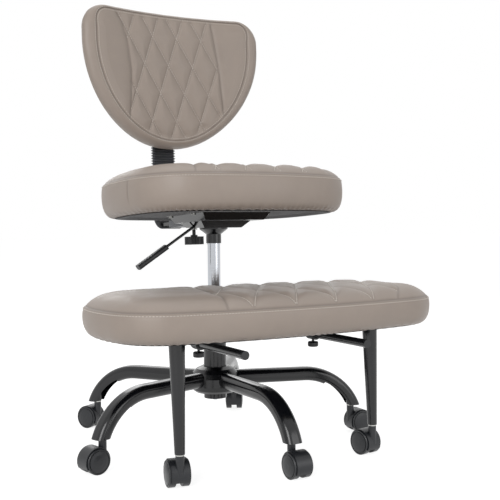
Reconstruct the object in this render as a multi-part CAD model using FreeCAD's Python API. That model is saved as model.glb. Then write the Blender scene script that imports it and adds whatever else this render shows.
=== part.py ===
import FreeCAD, Part
import math
import os

from FreeCAD import Vector

# Kneeling chair, millimetres. The origin is on the floor, on the axis of the gas column.
# The chair faces -Y, +X is to its left as one sits, and +Z is up.

# Castors
wheel_radius = 25.0
wheel_inner_face = 6.5
wheel_width = 16.0
wheel_edge = 1.0
wheel_rim_band = 3.0
wheel_rim_step = 1.5
wheel_rim_step_width = 1.4
wheel_dome = 2.5
axle_radius = 3.0
axle_half_length = 17.5
caster_trail = 20.0
hood_wall = 1.6
hood_gap = 0.6
hood_half_width = 16.5
hood_web_half = 5.5
hood_lower_edge = 12.0
neck_radius = 8.0
neck_rise = 11.5
stem_radius = 5.5
stem_in_neck = 17.5
stem_ring_radius = 8.4
stem_ring_height = 2.5
stem_ring_gap = 0.2
stem_depth = 18.0
running_gap = 0.05
cut_margin = 1.0

# Star base
arm_count = 5
arm_first_angle = -90.0
stem_circle_radius = 312.0
arm_rise = 75.0
arm_root_radius = 30.0
arm_bend_radius = 122.0
arm_stem_angle = 63.31
arm_bend_angle = 72.0
arm_root_size = 33.0
arm_root_roundness = 0.94
arm_width = 35.0
arm_height = 30.0
arm_corner = 12.0
arm_tube_angle = 24.0
arm_wall = 2.2
arm_mitre_gap = 0.3
socket_radius = 9.0
socket_top_gap = 4.0
web_thickness = 3.0
web_drop = 4.0
hub_below_axis = 29.0
hub_height = 56.0
hub_radius = 53.0
hub_wall = 3.0

# Column and gas spring
column_radius = 25.0
column_wall = 2.0
column_below_hub = 14.0
column_length = 232.0
column_floor = 4.0
guide_length = 73.0
guide_gap = 0.05
cylinder_radius = 14.0
cylinder_wall = 1.5
cylinder_length = 310.0
cylinder_foot = 6.0
cylinder_plug = 26.0
cylinder_below_pan = 7.0
rod_radius = 5.0
rod_tail = 2.0
piston_rise = 104.0
piston_height = 16.0
piston_gap = 0.1
bearing_radius = 12.0
bearing_height = 5.0
bearing_gap = 1.0
shoulder_radius = 10.0
shoulder_height = 4.0
clip_radius = 9.0
clip_height = 3.0
clip_gap = 0.3
button_radius = 3.5
button_seat = 12.0
button_travel_room = 8.0
button_gap = 0.3

# Mechanism under the seat
seat_plane_rise = 154.0
collar_radius = 16.5
collar_length = 34.0
cone_height = 14.0
cone_rim = 3.0
cone_top_radius = 31.0
lower_pan_depth = 12.0
lower_pan_half = 45.0
lower_pan_flare = 12.0
lower_pan_hole = 24.0
pan_wall = 2.5
seat_plate_depth = 18.0
seat_plate_front = -100.0
seat_plate_rear = 50.0
seat_plate_half = 70.0
seat_plate_flare = 12.0
seat_plate_flange = 12.0
seat_plate_flange_inset = 2.0
seat_screw_inset = 19.0
seat_tilt = 2.5
lever_pivot_x = -40.0
lever_axis_drop = 4.0
lever_rod_radius = 3.0
lever_tip_x = 3.0
lever_slope = 33.0
lever_rod_length = 118.0
lever_slot_gap = 1.6
lever_in_paddle = 30.0
lever_eye_radius = 3.5
lever_pin_radius = 2.0
lever_pin_half = 11.0
paddle_length = 78.0
paddle_width = 19.0
paddle_height = 11.0
paddle_roundness = 0.42
paddle_groove_count = 5
paddle_groove_pitch = 7.0
paddle_groove_radius = 1.6
paddle_groove_sink = 1.0
paddle_groove_first = 14.0
ear_offset = 6.5
ear_thickness = 2.0
ear_half_length = 5.0
ear_gap = 0.5

# Seat
seat_board_thickness = 12.0
seat_half_width = 245.0
seat_half_depth = 203.0
seat_side_bow = 520.0
seat_front_bow = 640.0
seat_corner = 128.0
seat_centre_y = -45.0
seat_wrap = 6.0
seat_bottom_inset = 14.0
seat_boxing_height = 72.0
seat_crown = 24.0
board_inset = 22.0
cover_sheet = 1.0
cover_inset = 44.0
cover_gap = 0.5
cutout_gap = 1.0

# Cushion profile
cushion_seam_inset = 4.0
cushion_shoulder_inset = 1.0
cushion_crown_steps = ((11.0, 0.42), (26.0, 0.74), (52.0, 0.93), (88.0, 1.0))

# Lower cushion
knee_half_width = 356.0
knee_half_depth = 177.0
knee_side_bow = 290.0
knee_front_bow = 1500.0
knee_corner = 118.0
knee_centre_y = -216.0
knee_above_rods = 24.0
knee_bottom_inset = 16.0
knee_boxing_height = 57.0
knee_crown = 24.0
knee_board_thickness = 12.0
knee_wrap = 6.0

# Sewn channels
channel_width = 4.0
channel_depth = 3.0
channel_end_gap = 2.0
seat_diamond_width = 66.0
seat_diamond_length = 132.0
seat_panel_half = 120.0
knee_panel_half = 205.0
knee_diamond_width = 66.0
knee_diamond_length = 132.0
back_diamond_width = 66.0
back_diamond_length = 132.0
back_panel_inset = 42.0

# Backrest bar and its bracket
bracket_front = 64.0
bracket_rear = 165.0
bracket_half_width = 33.0
bracket_depth = 22.0
bracket_wall = 2.5
bracket_flange = 14.0
bracket_flange_setback = 14.0
bracket_screw_front = 24.0
bracket_screw_rear = 45.0
pad_half_width = 15.0
pad_front_setback = 16.0
pad_rear_setback = 4.0
bar_half_width = 25.0
bar_thickness = 8.0
bar_below_rim = 16.0
bar_pad_gap = 0.3
bar_inner_end = 66.0
bar_upright_y = 261.0
bar_bend_radius = 40.0
bar_upright_length = 286.0
depth_knob_y = 100.0
knob_below_bracket = 24.0
knob_radius = 23.0
knob_height = 18.0
knob_stem_radius = 4.0
knob_stem_gap = 0.5
knob_point_gap = 0.2
knob_lobes = 8
knob_lobe_radius = 5.0
knob_lobe_sink = 0.6
knob_collar_wall = 4.0
knob_collar_height = 4.0
knob_insert = 6.0
nut_radius = 8.0
nut_height = 8.0
sleeve_gap = 0.6
sleeve_wall = 1.6
sleeve_rib = 3.4
sleeve_corner = 4.0
sleeve_end_gap = 0.3
sleeve_ribs_upper = 27
sleeve_ribs_bend = 14

# Backrest
back_half_width = 226.0
back_below_housing = 31.0
back_widest_rise = 245.0
back_height = 323.0
back_lower_radius = 200.0
back_corner = 58.0
back_bar_clearance = 15.0
back_thickness = 58.0
back_front_radius = 820.0
back_rear_radius = 600.0
back_edge_round = 13.0
rear_panel = 17.0
back_board_thickness = 9.0
back_board_inset = 14.0
housing_below_bar_top = 68.0
housing_height = 90.0
housing_half_width = 33.0
housing_wall = 3.0
housing_gap = 0.3
housing_flange = 17.0
housing_flange_inset = 6.0
housing_flange_half = 6.0
housing_boss_radius = 9.0
housing_boss_height = 4.0
back_screw_radius = 2.4
back_screw_head_radius = 4.4
back_screw_head_height = 3.0
back_screw_length = 14.0
back_screw_side_inset = 7.0
back_screw_end_inset = 18.0
height_knob_drop = 22.0
height_knob_radius = 17.0
height_knob_depth = 13.0
height_knob_lobes = 6
height_knob_lobe_radius = 4.0
height_knob_stem_radius = 3.0
height_knob_gap = 1.0

# Kneeler rods, clamps and legs
rod_half_spacing = 133.0
guide_rod_radius = 8.0
rods_below_column_top = 81.0
guide_rod_length = 309.0
rod_cap_length = 4.0
crossbar_front = -62.0
crossbar_depth = 30.0
crossbar_height = 24.0
crossbar_wall = 2.0
crossbar_overhang = 12.0
column_collar_radius = 33.0
column_collar_height = 26.0
collar_lug_half = 9.0
collar_lug_length = 16.0
collar_slit_half = 1.5
collar_bolt_radius = 3.0
collar_bolt_head_radius = 5.0
collar_bolt_head_height = 4.0
block_half_width = 12.0
block_length = 24.0
clamp_block_ahead = 26.0
plain_block_ahead = 100.0
lock_knob_radius = 11.0
lock_knob_height = 11.0
lock_knob_round = 3.0
lock_knob_gap = 4.0
lock_knob_insert = 6.0
lock_stem_radius = 2.5
lock_point_gap = 0.15
leg_x = 217.0
leg_behind_centre = -64.0
leg_lean = 8.0
leg_top_radius = 15.5
leg_foot_radius = 9.6
leg_wall = 1.8
leg_plate_half = 36.0
leg_plate_thickness = 3.0
leg_plate_corner = 6.0
leg_screw_inset = 8.0
foot_insert_radius = 7.4

# Screws
screw_radius = 3.0
screw_head_radius = 5.5
screw_head_height = 4.0
screw_bite = 9.0

# Heights and places that follow from the sizes above
neck_top = 2 * wheel_radius + neck_rise
stem_bottom = neck_top - stem_in_neck
stem_seat = neck_top + stem_ring_height
arm_axis_height = stem_seat + arm_rise
arm_straight_end = stem_circle_radius - arm_bend_radius * math.sin(math.radians(arm_stem_angle))
hub_bottom = arm_axis_height - hub_below_axis
hub_top = hub_bottom + hub_height
column_bottom = hub_bottom - column_below_hub
column_top = column_bottom + column_length
guide_bottom = column_top - guide_length
seat_plane = column_top + seat_plane_rise
lower_pan_floor = seat_plane - lower_pan_depth
cylinder_top = lower_pan_floor - cylinder_below_pan
cylinder_bottom = cylinder_top - cylinder_length
piston_bottom = cylinder_bottom + piston_rise
lever_axis_height = seat_plane - lever_axis_drop
button_top = lever_axis_height - lever_rod_radius - button_gap
seat_plate_rim = seat_plane + seat_plate_depth
bracket_floor = seat_plate_rim - bracket_depth
knob_top = bracket_floor - knob_below_bracket
bar_underside = seat_plate_rim - bar_below_rim
bar_top = bar_underside + bar_upright_length
housing_bottom = bar_top - housing_below_bar_top
housing_top = housing_bottom + housing_height
height_knob_z = bar_top - height_knob_drop
back_bottom = housing_bottom - back_below_housing
back_widest = back_bottom + back_widest_rise
back_top = back_bottom + back_height
back_rear_y = bar_upright_y - back_bar_clearance
back_front_y = back_rear_y - back_thickness
guide_rod_height = column_top - rods_below_column_top
guide_rod_front = crossbar_front - guide_rod_length
knee_bottom = guide_rod_height + knee_above_rods
knee_board_bottom = knee_bottom + knee_wrap
block_places = (knee_centre_y + clamp_block_ahead, knee_centre_y + plain_block_ahead)
leg_y = knee_centre_y + leg_behind_centre

# Trail direction of each castor, in degrees from +X
caster_trails = {
    "base_1": -90.0,
    "base_2": -4.0,
    "base_3": 60.0,
    "base_4": 123.0,
    "base_5": -167.0,
    "leg_left": 80.0,
    "leg_right": 97.0,
}


def place(shape, x=0.0, y=0.0, z=0.0):
    moved = shape.copy()
    moved.translate(Vector(x, y, z))
    return moved


def turn(shape, degrees, axis=Vector(0, 0, 1), centre=Vector(0, 0, 0)):
    turned = shape.copy()
    turned.rotate(centre, axis, degrees)
    return turned


def post(radius, low, high, x=0.0, y=0.0):
    return Part.makeCylinder(radius, high - low, Vector(x, y, low))


def sleeve(outer, inner, low, high, x=0.0, y=0.0):
    return post(outer, low, high, x, y).cut(post(inner, low - cut_margin, high + cut_margin, x, y))


def block(x0, x1, y0, y1, z0, z1):
    return Part.makeBox(x1 - x0, y1 - y0, z1 - z0, Vector(x0, y0, z0))


def revolve(points):
    outline = Part.makePolygon([Vector(r, 0, z) for r, z in points + points[:1]])
    return Part.Face(outline).revolve(Vector(0, 0, 0), Vector(0, 0, 1), 360)


def rounded_wire(at, half, upper, lower, corner):
    """A rectangle with rounded corners, drawn by at(across, up)."""
    quarter = corner * (1 - math.sqrt(0.5))
    corners = ((half, upper, -1, -1), (-half, upper, 1, -1), (-half, lower, 1, 1), (half, lower, -1, 1))
    knots = []
    for index, (u, v, inward_u, inward_v) in enumerate(corners):
        on_level = at(u + inward_u * corner, v)
        on_side = at(u, v + inward_v * corner)
        middle = at(u + inward_u * quarter, v + inward_v * quarter)
        ends = (on_side, on_level) if index % 2 == 0 else (on_level, on_side)
        knots.append((ends[0], middle, ends[1]))
    edges = []
    for index, (first, middle, last) in enumerate(knots):
        following = knots[(index + 1) % 4][0]
        edges.append(Part.Arc(first, middle, last).toShape())
        edges.append(Part.LineSegment(last, following).toShape())
    return Part.Wire(edges)


def group(shapes):
    solids = []
    for shape in shapes:
        solids.extend(shape.Solids)
    return Part.makeCompound(solids)


def tilt(shape):
    """The seat and backrest lean back together about the front-to-back centre of the seat plane."""
    return turn(shape, -seat_tilt, Vector(1, 0, 0), Vector(0, 0, seat_plane))


def save(name, shape):
    if not shape.isValid():
        raise ValueError(name + " is not a valid shape")
    if not shape.Solids:
        raise ValueError(name + " holds no solid")
    shape.exportStep("parts/" + name + ".step")


def bowed_plan(half_x, half_y, bow_x, bow_y, corner, z, centre_y):
    """A rounded rectangle with bowed sides: four side arcs joined by four tangent corner arcs."""
    side = Vector(half_x - bow_x, 0, 0)
    front = Vector(0, half_y - bow_y, 0)
    near = bow_x - corner
    far = bow_y - corner
    span = front.sub(side)
    distance = span.Length
    along = (near * near - far * far + distance * distance) / (2 * distance)
    across = math.sqrt(near * near - along * along)
    unit = span.multiply(1 / distance)
    candidates = []
    for sign in (-1, 1):
        normal = Vector(-unit.y, unit.x, 0)
        point = side.add(Vector(unit).multiply(along)).add(normal.multiply(sign * across))
        candidates.append(point)
    centre = max(candidates, key=lambda point: point.x + point.y)
    toward_side = centre.sub(side).normalize()
    toward_front = centre.sub(front).normalize()
    corner_start = side.add(Vector(toward_side).multiply(bow_x))
    corner_end = front.add(Vector(toward_front).multiply(bow_y))
    middle = toward_side.add(toward_front).normalize()
    corner_middle = centre.add(middle.multiply(corner))

    def at(point, sx, sy):
        return Vector(point.x * sx, point.y * sy + centre_y, z)

    right = Vector(half_x, 0, 0)
    rear = Vector(0, half_y, 0)
    edges = []
    stops = (
        (corner_start, corner_middle, corner_end, 1, 1),
        (corner_end, rear, corner_end, 0, 1),
        (corner_end, corner_middle, corner_start, -1, 1),
        (corner_start, right, corner_start, -1, 0),
        (corner_start, corner_middle, corner_end, -1, -1),
        (corner_end, rear, corner_end, 0, -1),
        (corner_end, corner_middle, corner_start, 1, -1),
        (corner_start, right, corner_start, 1, 0),
    )
    for start, mid, end, sx, sy in stops:
        if sx == 0:
            first, last = at(start, sy, sy), at(end, -sy, sy)
            between = at(mid, 0, sy)
        elif sy == 0:
            first, last = at(start, sx, -sx), at(end, sx, sx)
            between = at(mid, sx, 0)
        else:
            first, last = at(start, sx, sy), at(end, sx, sy)
            between = at(mid, sx, sy)
        edges.append(Part.Arc(first, between, last).toShape())
    return Part.Wire(edges)


class Plan:
    """The plan outline of a cushion, from which every inset outline is drawn."""

    def __init__(self, half_x, half_y, bow_x, bow_y, corner, centre_y):
        self.half_x = half_x
        self.half_y = half_y
        self.bow_x = bow_x
        self.bow_y = bow_y
        self.corner = corner
        self.centre_y = centre_y

    def wire(self, inset, z):
        return bowed_plan(
            self.half_x - inset,
            self.half_y - inset,
            self.bow_x - inset,
            self.bow_y - inset,
            self.corner - inset,
            z,
            self.centre_y,
        )

    def slab(self, inset, low, high):
        return Part.Face(self.wire(inset, low)).extrude(Vector(0, 0, high - low))


def channel(start, end, seam_z, crown, rise):
    """A sewn channel: a thin upright blade whose lower edge follows the crown."""
    run = math.dist(start, end)
    low = seam_z - channel_depth
    high = seam_z + crown - channel_depth
    rise = min(rise, run * 0.4)
    bend = 0.35
    path = [
        Part.LineSegment(Vector(run, 0, high + crown), Vector(0, 0, high + crown)).toShape(),
        Part.LineSegment(Vector(0, 0, high + crown), Vector(0, 0, low)).toShape(),
        Part.Arc(
            Vector(0, 0, low),
            Vector(rise * bend, 0, low + crown * 0.7),
            Vector(rise, 0, high),
        ).toShape(),
        Part.LineSegment(Vector(rise, 0, high), Vector(run - rise, 0, high)).toShape(),
        Part.Arc(
            Vector(run - rise, 0, high),
            Vector(run - rise * bend, 0, low + crown * 0.7),
            Vector(run, 0, low),
        ).toShape(),
        Part.LineSegment(Vector(run, 0, low), Vector(run, 0, high + crown)).toShape(),
    ]
    face = Part.Face(Part.Wire(path))
    blade = face.extrude(Vector(0, channel_width, 0))
    blade.translate(Vector(0, -channel_width / 2, 0))
    angle = math.degrees(math.atan2(end[1] - start[1], end[0] - start[0]))
    return place(turn(blade, angle), start[0], start[1])


def diamond_channels(plan, panel_half, width, length, seam_z, crown):
    """Two families of slanting channels that cross to make diamonds, within the middle panel."""
    half_depth = plan.half_y - channel_end_gap
    slope = width / length
    reach = 2 * half_depth * slope
    blades = []
    steps = int((panel_half + reach) / width) + 1
    for step in range(-steps, steps + 1):
        for lean in (-1, 1):
            rear_x = step * width - lean * reach / 2
            front_x = rear_x + lean * reach
            low_x, high_x = sorted((rear_x, front_x))
            if high_x <= -panel_half + width / 2 or low_x >= panel_half - width / 2:
                continue
            ends = []
            for x, y in ((rear_x, half_depth), (front_x, -half_depth)):
                held = max(-panel_half, min(panel_half, x))
                pull = (held - x) / (slope * lean)
                ends.append((held, plan.centre_y + y - pull))
            if math.dist(ends[0], ends[1]) < 0.4 * length:
                continue
            blades.append(channel(ends[0], ends[1], seam_z, crown, 0.45 * plan.half_y))
    return blades


def cushion(plan, bottom, bottom_inset, boxing, crown, blades):
    """A boxed cushion: drawn-in lower edge, full sides, a seam, and a crowned sewn top."""
    seam = bottom + boxing
    sides = Part.makeLoft(
        [
            plan.wire(bottom_inset, bottom),
            plan.wire(bottom_inset * 0.3, bottom + boxing * 0.2),
            plan.wire(0.0, bottom + boxing * 0.5),
            plan.wire(cushion_shoulder_inset, bottom + boxing * 0.8),
            plan.wire(cushion_seam_inset, seam),
        ],
        True,
    )
    levels = [plan.wire(cushion_seam_inset, seam)]
    for inset, share in cushion_crown_steps:
        levels.append(plan.wire(inset, seam + crown * share))
    body = sides.fuse(Part.makeLoft(levels, True))
    for blade in blades:
        body = body.cut(blade)
    return body


# Castor pieces, in the castor's own frame: stem axis at the origin, trailing along +X
def caster_wheel():
    outer = wheel_inner_face + wheel_width
    rim = outer - wheel_dome
    bore = axle_radius
    bore_end = axle_half_length
    step_out = wheel_radius - wheel_rim_band
    step_in = step_out - wheel_rim_step_width
    side = [
        (bore, wheel_inner_face),
        (wheel_radius - wheel_edge, wheel_inner_face),
        (wheel_radius, wheel_inner_face + wheel_edge),
        (wheel_radius, rim - wheel_edge),
        (wheel_radius - wheel_edge, rim),
        (step_out, rim),
        (step_out, rim - wheel_rim_step),
        (step_in, rim - wheel_rim_step),
        (step_in, rim + 0.16 * wheel_dome),
        (0.55 * wheel_radius, outer - 0.28 * wheel_dome),
        (0.25 * wheel_radius, outer),
        (0.0, outer),
        (0.0, bore_end),
        (bore, bore_end),
    ]
    wheel = revolve(side)
    wheel = turn(wheel, -90, Vector(1, 0, 0))
    return place(wheel, caster_trail, 0, wheel_radius)


def caster_wheels():
    """Two wheels pressed on the ends of the axle that turns in the hood."""
    wheel = caster_wheel()
    other = wheel.mirror(Vector(0, 0, 0), Vector(0, 1, 0))
    return group([wheel, other, caster_axle(0.0)])


def caster_axle(grow):
    return Part.makeCylinder(
        axle_radius + grow,
        2 * axle_half_length,
        Vector(caster_trail, -axle_half_length, wheel_radius),
        Vector(0, 1, 0),
    )


def barrel(radius, half_width):
    return Part.makeCylinder(
        radius,
        2 * half_width,
        Vector(caster_trail, -half_width, wheel_radius),
        Vector(0, 1, 0),
    )


def caster_hood():
    inner = wheel_radius + hood_gap
    outer = inner + hood_wall
    shell = barrel(outer, hood_half_width)
    neck = post(neck_radius, wheel_radius, neck_top)
    body = shell.fuse(neck)
    for side in (-1, 1):
        cavity = barrel(inner, hood_half_width - hood_web_half + cut_margin)
        cavity.translate(Vector(0, side * (hood_half_width + cut_margin), 0))
        body = body.cut(cavity)
    reach = outer + caster_trail
    body = body.cut(block(-reach, reach, -reach, reach, -reach, hood_lower_edge))
    body = body.cut(caster_axle(running_gap))
    stem_hole = post(stem_radius + running_gap, stem_bottom - stem_ring_gap, neck_top + cut_margin)
    return body.cut(stem_hole)


def caster_stem():
    stem = post(stem_radius, stem_bottom, stem_seat + stem_depth)
    ring = post(stem_ring_radius, neck_top + stem_ring_gap, stem_seat)
    return stem.fuse(ring)


def stem_place(name):
    if name == "leg_left":
        return -leg_x, leg_y
    if name == "leg_right":
        return leg_x, leg_y
    number = int(name.split("_")[1]) - 1
    angle = math.radians(arm_first_angle + number * 360 / arm_count)
    return stem_circle_radius * math.cos(angle), stem_circle_radius * math.sin(angle)


def make_casters():
    hood = caster_hood()
    wheels = caster_wheels()
    for name, trail in caster_trails.items():
        x, y = stem_place(name)
        save("caster_hood_" + name, place(turn(hood, trail), x, y))
        save("caster_wheels_" + name, place(turn(wheels, trail), x, y))
    base_stems = []
    leg_stems = []
    for name in caster_trails:
        x, y = stem_place(name)
        stem = place(caster_stem(), x, y)
        if name.startswith("base"):
            base_stems.append(stem)
        else:
            leg_stems.append(stem)
    save("base_caster_stems", group(base_stems))
    save("leg_caster_stems", group(leg_stems))


# Star base
def arm_section(r, bend, width, upper, lower, corner):
    """A rounded rectangle square to the arm's centre line, upper and lower from that line.

    The centre line runs straight out to arm_straight_end and then bends down by an angle.
    """
    angle = math.radians(bend)
    normal = Vector(math.sin(angle), 0, math.cos(angle))
    bend_centre = Vector(r, 0, arm_axis_height - arm_bend_radius)
    centre = bend_centre.add(Vector(normal).multiply(arm_bend_radius))
    half = width / 2

    def at(across, up):
        return centre.add(Vector(0, across, 0)).add(Vector(normal).multiply(up))

    return rounded_wire(at, half, upper, -lower, corner)


def arm_bend(section, degrees):
    """A section carried round the bend of the arm."""
    centre = Vector(arm_straight_end, 0, arm_axis_height - arm_bend_radius)
    return Part.Face(section).revolve(centre, Vector(0, 1, 0), degrees)


def arm_body(inset):
    """The straight run of the arm or, with an inset, of its hollow, and the section it ends on."""
    root = arm_root_size / 2 - inset
    half = arm_height / 2 - inset
    corner = arm_corner - inset
    first = arm_section(arm_root_radius, 0, 2 * root, root, root, root * arm_root_roundness)
    last = arm_section(arm_straight_end, 0, arm_width - 2 * inset, half, half, corner)
    run = Part.makeLoft([first, last], True, True)
    return run, last


def arm_shape():
    run, last = arm_body(0.0)
    outer = run.fuse(arm_bend(last, arm_bend_angle))
    hollow, inner = arm_body(arm_wall)
    hollow = hollow.fuse(arm_bend(inner, arm_tube_angle))
    trough_start = arm_section(
        arm_straight_end, arm_tube_angle, arm_width - 2 * arm_wall, arm_height / 2 - arm_wall,
        arm_height, arm_corner - arm_wall,
    )
    trough = arm_bend(trough_start, arm_bend_angle - arm_tube_angle + cut_margin)
    arm = outer.cut(hollow).cut(trough)
    reach = stem_circle_radius + arm_width
    return arm.cut(block(0, reach, -arm_width, arm_width, 0, stem_seat))


def socket_shape():
    top = stem_seat + stem_depth + socket_top_gap
    tube = post(socket_radius, stem_seat, top, stem_circle_radius)
    half = arm_width / 2 - arm_wall
    web = block(
        stem_circle_radius - web_thickness / 2,
        stem_circle_radius + web_thickness / 2,
        -half,
        half,
        stem_seat + web_drop / 4,
        top - web_drop,
    )
    socket = tube.fuse(web)
    stem_room = post(stem_radius, stem_seat - cut_margin, stem_seat + stem_depth, stem_circle_radius)
    return socket.cut(stem_room)


def hub_shape():
    inner = column_radius
    sleeve_radius = inner + hub_wall
    outer = [
        (inner, hub_bottom),
        (hub_radius - 9, hub_bottom),
        (hub_radius - 3, hub_bottom + 5),
        (hub_radius, hub_bottom + 14),
        (hub_radius, hub_top - 24),
        (hub_radius - 4, hub_top - 13),
        (hub_radius - 12, hub_top - 5),
        (sleeve_radius + 2, hub_top),
        (inner, hub_top),
    ]
    hollow = [
        (sleeve_radius, hub_bottom + hub_wall),
        (hub_radius - 10, hub_bottom + hub_wall),
        (hub_radius - 5.4, hub_bottom + 7),
        (hub_radius - hub_wall, hub_bottom + 15),
        (hub_radius - hub_wall, hub_top - 25),
        (hub_radius - 7, hub_top - 15),
        (hub_radius - 14, hub_top - 8.5),
        (sleeve_radius, hub_top - hub_wall - 0.5),
    ]
    return revolve(outer).cut(revolve(hollow))


def make_base():
    arm = arm_shape()
    socket = socket_shape().cut(arm)
    envelope = arm_body(0.0)[0]
    hub = hub_shape()
    arms = []
    sockets = []
    for number in range(arm_count):
        angle = arm_first_angle + number * 360 / arm_count
        hub = hub.cut(turn(envelope, angle))
        arms.append(turn(arm, angle))
        sockets.append(turn(socket, angle))
    save("star_hub", hub)
    save("star_arms", group(trim_arms(arms)))
    save("arm_sockets", group(sockets))


def trim_arms(arms):
    """Each arm's root is mitred against its neighbours with a small gap."""
    reach = stem_circle_radius + 2 * arm_width
    spread = reach * math.tan(math.pi / arm_count) - arm_mitre_gap
    wedge_points = [
        Vector(arm_mitre_gap, 0, 0),
        Vector(reach, spread, 0),
        Vector(reach, -spread, 0),
        Vector(arm_mitre_gap, 0, 0),
    ]
    wedge = Part.Face(Part.makePolygon(wedge_points)).extrude(Vector(0, 0, hub_top + arm_height))
    sleeve_room = post(column_radius + hub_wall, column_bottom, hub_top + arm_height)
    trimmed = []
    for number, arm in enumerate(arms):
        angle = arm_first_angle + number * 360 / arm_count
        trimmed.append(arm.common(turn(wedge, angle)).cut(sleeve_room))
    return trimmed


# Column and gas spring
def make_column():
    bore = column_radius - column_wall
    tube = post(column_radius, column_bottom, column_top)
    tube = tube.cut(post(bore, column_bottom + column_floor, column_top + cut_margin))
    tube = tube.cut(post(rod_radius + running_gap, column_bottom - cut_margin, column_top))
    save("column_tube", tube)
    save("column_guide", sleeve(bore, cylinder_radius + guide_gap, guide_bottom, column_top))
    bearing_low = column_bottom + column_floor
    bearing_high = bearing_low + bearing_height
    save("thrust_bearing", sleeve(bearing_radius, rod_radius + bearing_gap, bearing_low, bearing_high))
    clip_high = column_bottom - clip_gap
    save("rod_clip", sleeve(clip_radius, rod_radius, clip_high - clip_height, clip_high))
    piston_top = piston_bottom + piston_height
    chamber_radius = cylinder_radius - cylinder_wall
    shoulder = post(shoulder_radius, bearing_high, bearing_high + shoulder_height)
    rod = post(rod_radius, clip_high - clip_height - rod_tail, piston_top)
    piston = post(chamber_radius - piston_gap, piston_bottom, piston_top)
    save("piston_rod", rod.fuse(shoulder).fuse(piston))
    plug_low = cylinder_top - cylinder_plug
    cylinder = post(cylinder_radius, cylinder_bottom, cylinder_top)
    chamber = post(chamber_radius, cylinder_bottom + cylinder_foot, plug_low)
    gland = post(
        rod_radius + running_gap, cylinder_bottom - cut_margin, cylinder_bottom + cylinder_foot + cut_margin
    )
    button_low = plug_low + button_seat
    valve_bore = post(button_radius + running_gap, button_low - button_travel_room, cylinder_top + cut_margin)
    save("gas_cylinder", cylinder.cut(chamber).cut(gland).cut(valve_bore))
    save("valve_button", post(button_radius, button_low, button_top))


# Seat mechanism
def tray(front, rear, half, floor_z, rim_z, flare, wall):
    """A pressed tray with a flat floor and flared walls, open above."""

    def ring(inset, grow, z):
        return Part.makePolygon(
            [
                Vector(half - inset + grow, front + inset - grow, z),
                Vector(half - inset + grow, rear - inset + grow, z),
                Vector(-half + inset - grow, rear - inset + grow, z),
                Vector(-half + inset - grow, front + inset - grow, z),
                Vector(half - inset + grow, front + inset - grow, z),
            ]
        )

    outer = Part.makeLoft([ring(0, 0, floor_z), ring(0, flare, rim_z)], True, True)
    slope = flare / (rim_z - floor_z)
    inner = Part.makeLoft(
        [
            ring(wall, slope * wall, floor_z + wall),
            ring(wall, flare + slope * wall, rim_z + wall),
        ],
        True,
        True,
    )
    return outer.cut(inner)


def tilted_above(z):
    """A deep block over the leaning seat plane raised to z."""
    reach = 2 * seat_half_width
    return tilt(block(-reach, reach, -reach, reach, z, z + reach))


def lower_pan():
    """The pan on top of the taper hub, its walls trimmed to meet the leaning seat plate."""
    tall_rim = seat_plane + lower_pan_depth / 2
    flare = lower_pan_flare * (tall_rim - lower_pan_floor) / lower_pan_depth
    pan = tray(
        -lower_pan_half, lower_pan_half, lower_pan_half, lower_pan_floor, tall_rim, flare, pan_wall
    )
    ears = []
    for side in (-1, 1):
        y0, y1 = sorted((side * ear_offset, side * (ear_offset + ear_thickness)))
        ears.append(block(
            lever_pivot_x - ear_half_length, lever_pivot_x + ear_half_length, y0, y1,
            lower_pan_floor + pan_wall / 2, tall_rim,
        ))
    pan = pan.fuse(ears)
    slot_half = lever_rod_radius + lever_slot_gap
    slot = block(
        -lower_pan_half - 2 * flare, lever_pivot_x, -slot_half, slot_half,
        lower_pan_floor - cut_margin, tall_rim + cut_margin,
    )
    pan = pan.cut(slot)
    pan = pan.cut(post(lower_pan_hole, lower_pan_floor - cut_margin, seat_plane))
    pan = pan.cut(tilted_above(seat_plane))
    return pan.cut(lever_pin())


def lever_pin(grow=0.0):
    return Part.makeCylinder(
        lever_pin_radius + grow,
        2 * lever_pin_half,
        Vector(lever_pivot_x, -lever_pin_half, lever_axis_height),
        Vector(0, 1, 0),
    )


def taper_hub():
    """The clamp collar and cone that hold the gas cylinder under the lower pan."""
    collar_bottom = lower_pan_floor - collar_length
    return revolve(
        [
            (cylinder_radius, collar_bottom),
            (collar_radius, collar_bottom),
            (collar_radius, lower_pan_floor - cone_height),
            (cone_top_radius, lower_pan_floor - cone_rim),
            (cone_top_radius, lower_pan_floor),
            (lower_pan_hole, lower_pan_floor),
            (lower_pan_hole, lower_pan_floor - cone_rim / 2),
            (cylinder_radius, cylinder_top),
        ]
    )


def lever_direction():
    slope = math.radians(lever_slope)
    return Vector(-math.cos(slope), 0, -math.sin(slope))


def lift_lever():
    pivot = Vector(lever_pivot_x, 0, lever_axis_height)
    inner = Part.makeCylinder(
        lever_rod_radius, lever_tip_x - lever_pivot_x, pivot, Vector(1, 0, 0)
    )
    outer = Part.makeCylinder(
        lever_rod_radius, lever_rod_length, pivot, lever_direction()
    )
    eye_half = ear_offset - ear_gap
    eye = Part.makeCylinder(
        lever_eye_radius, 2 * eye_half, Vector(lever_pivot_x, -eye_half, lever_axis_height), Vector(0, 1, 0)
    )
    lever = inner.fuse([outer, eye])
    return lever.cut(lever_pin(running_gap))


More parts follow.
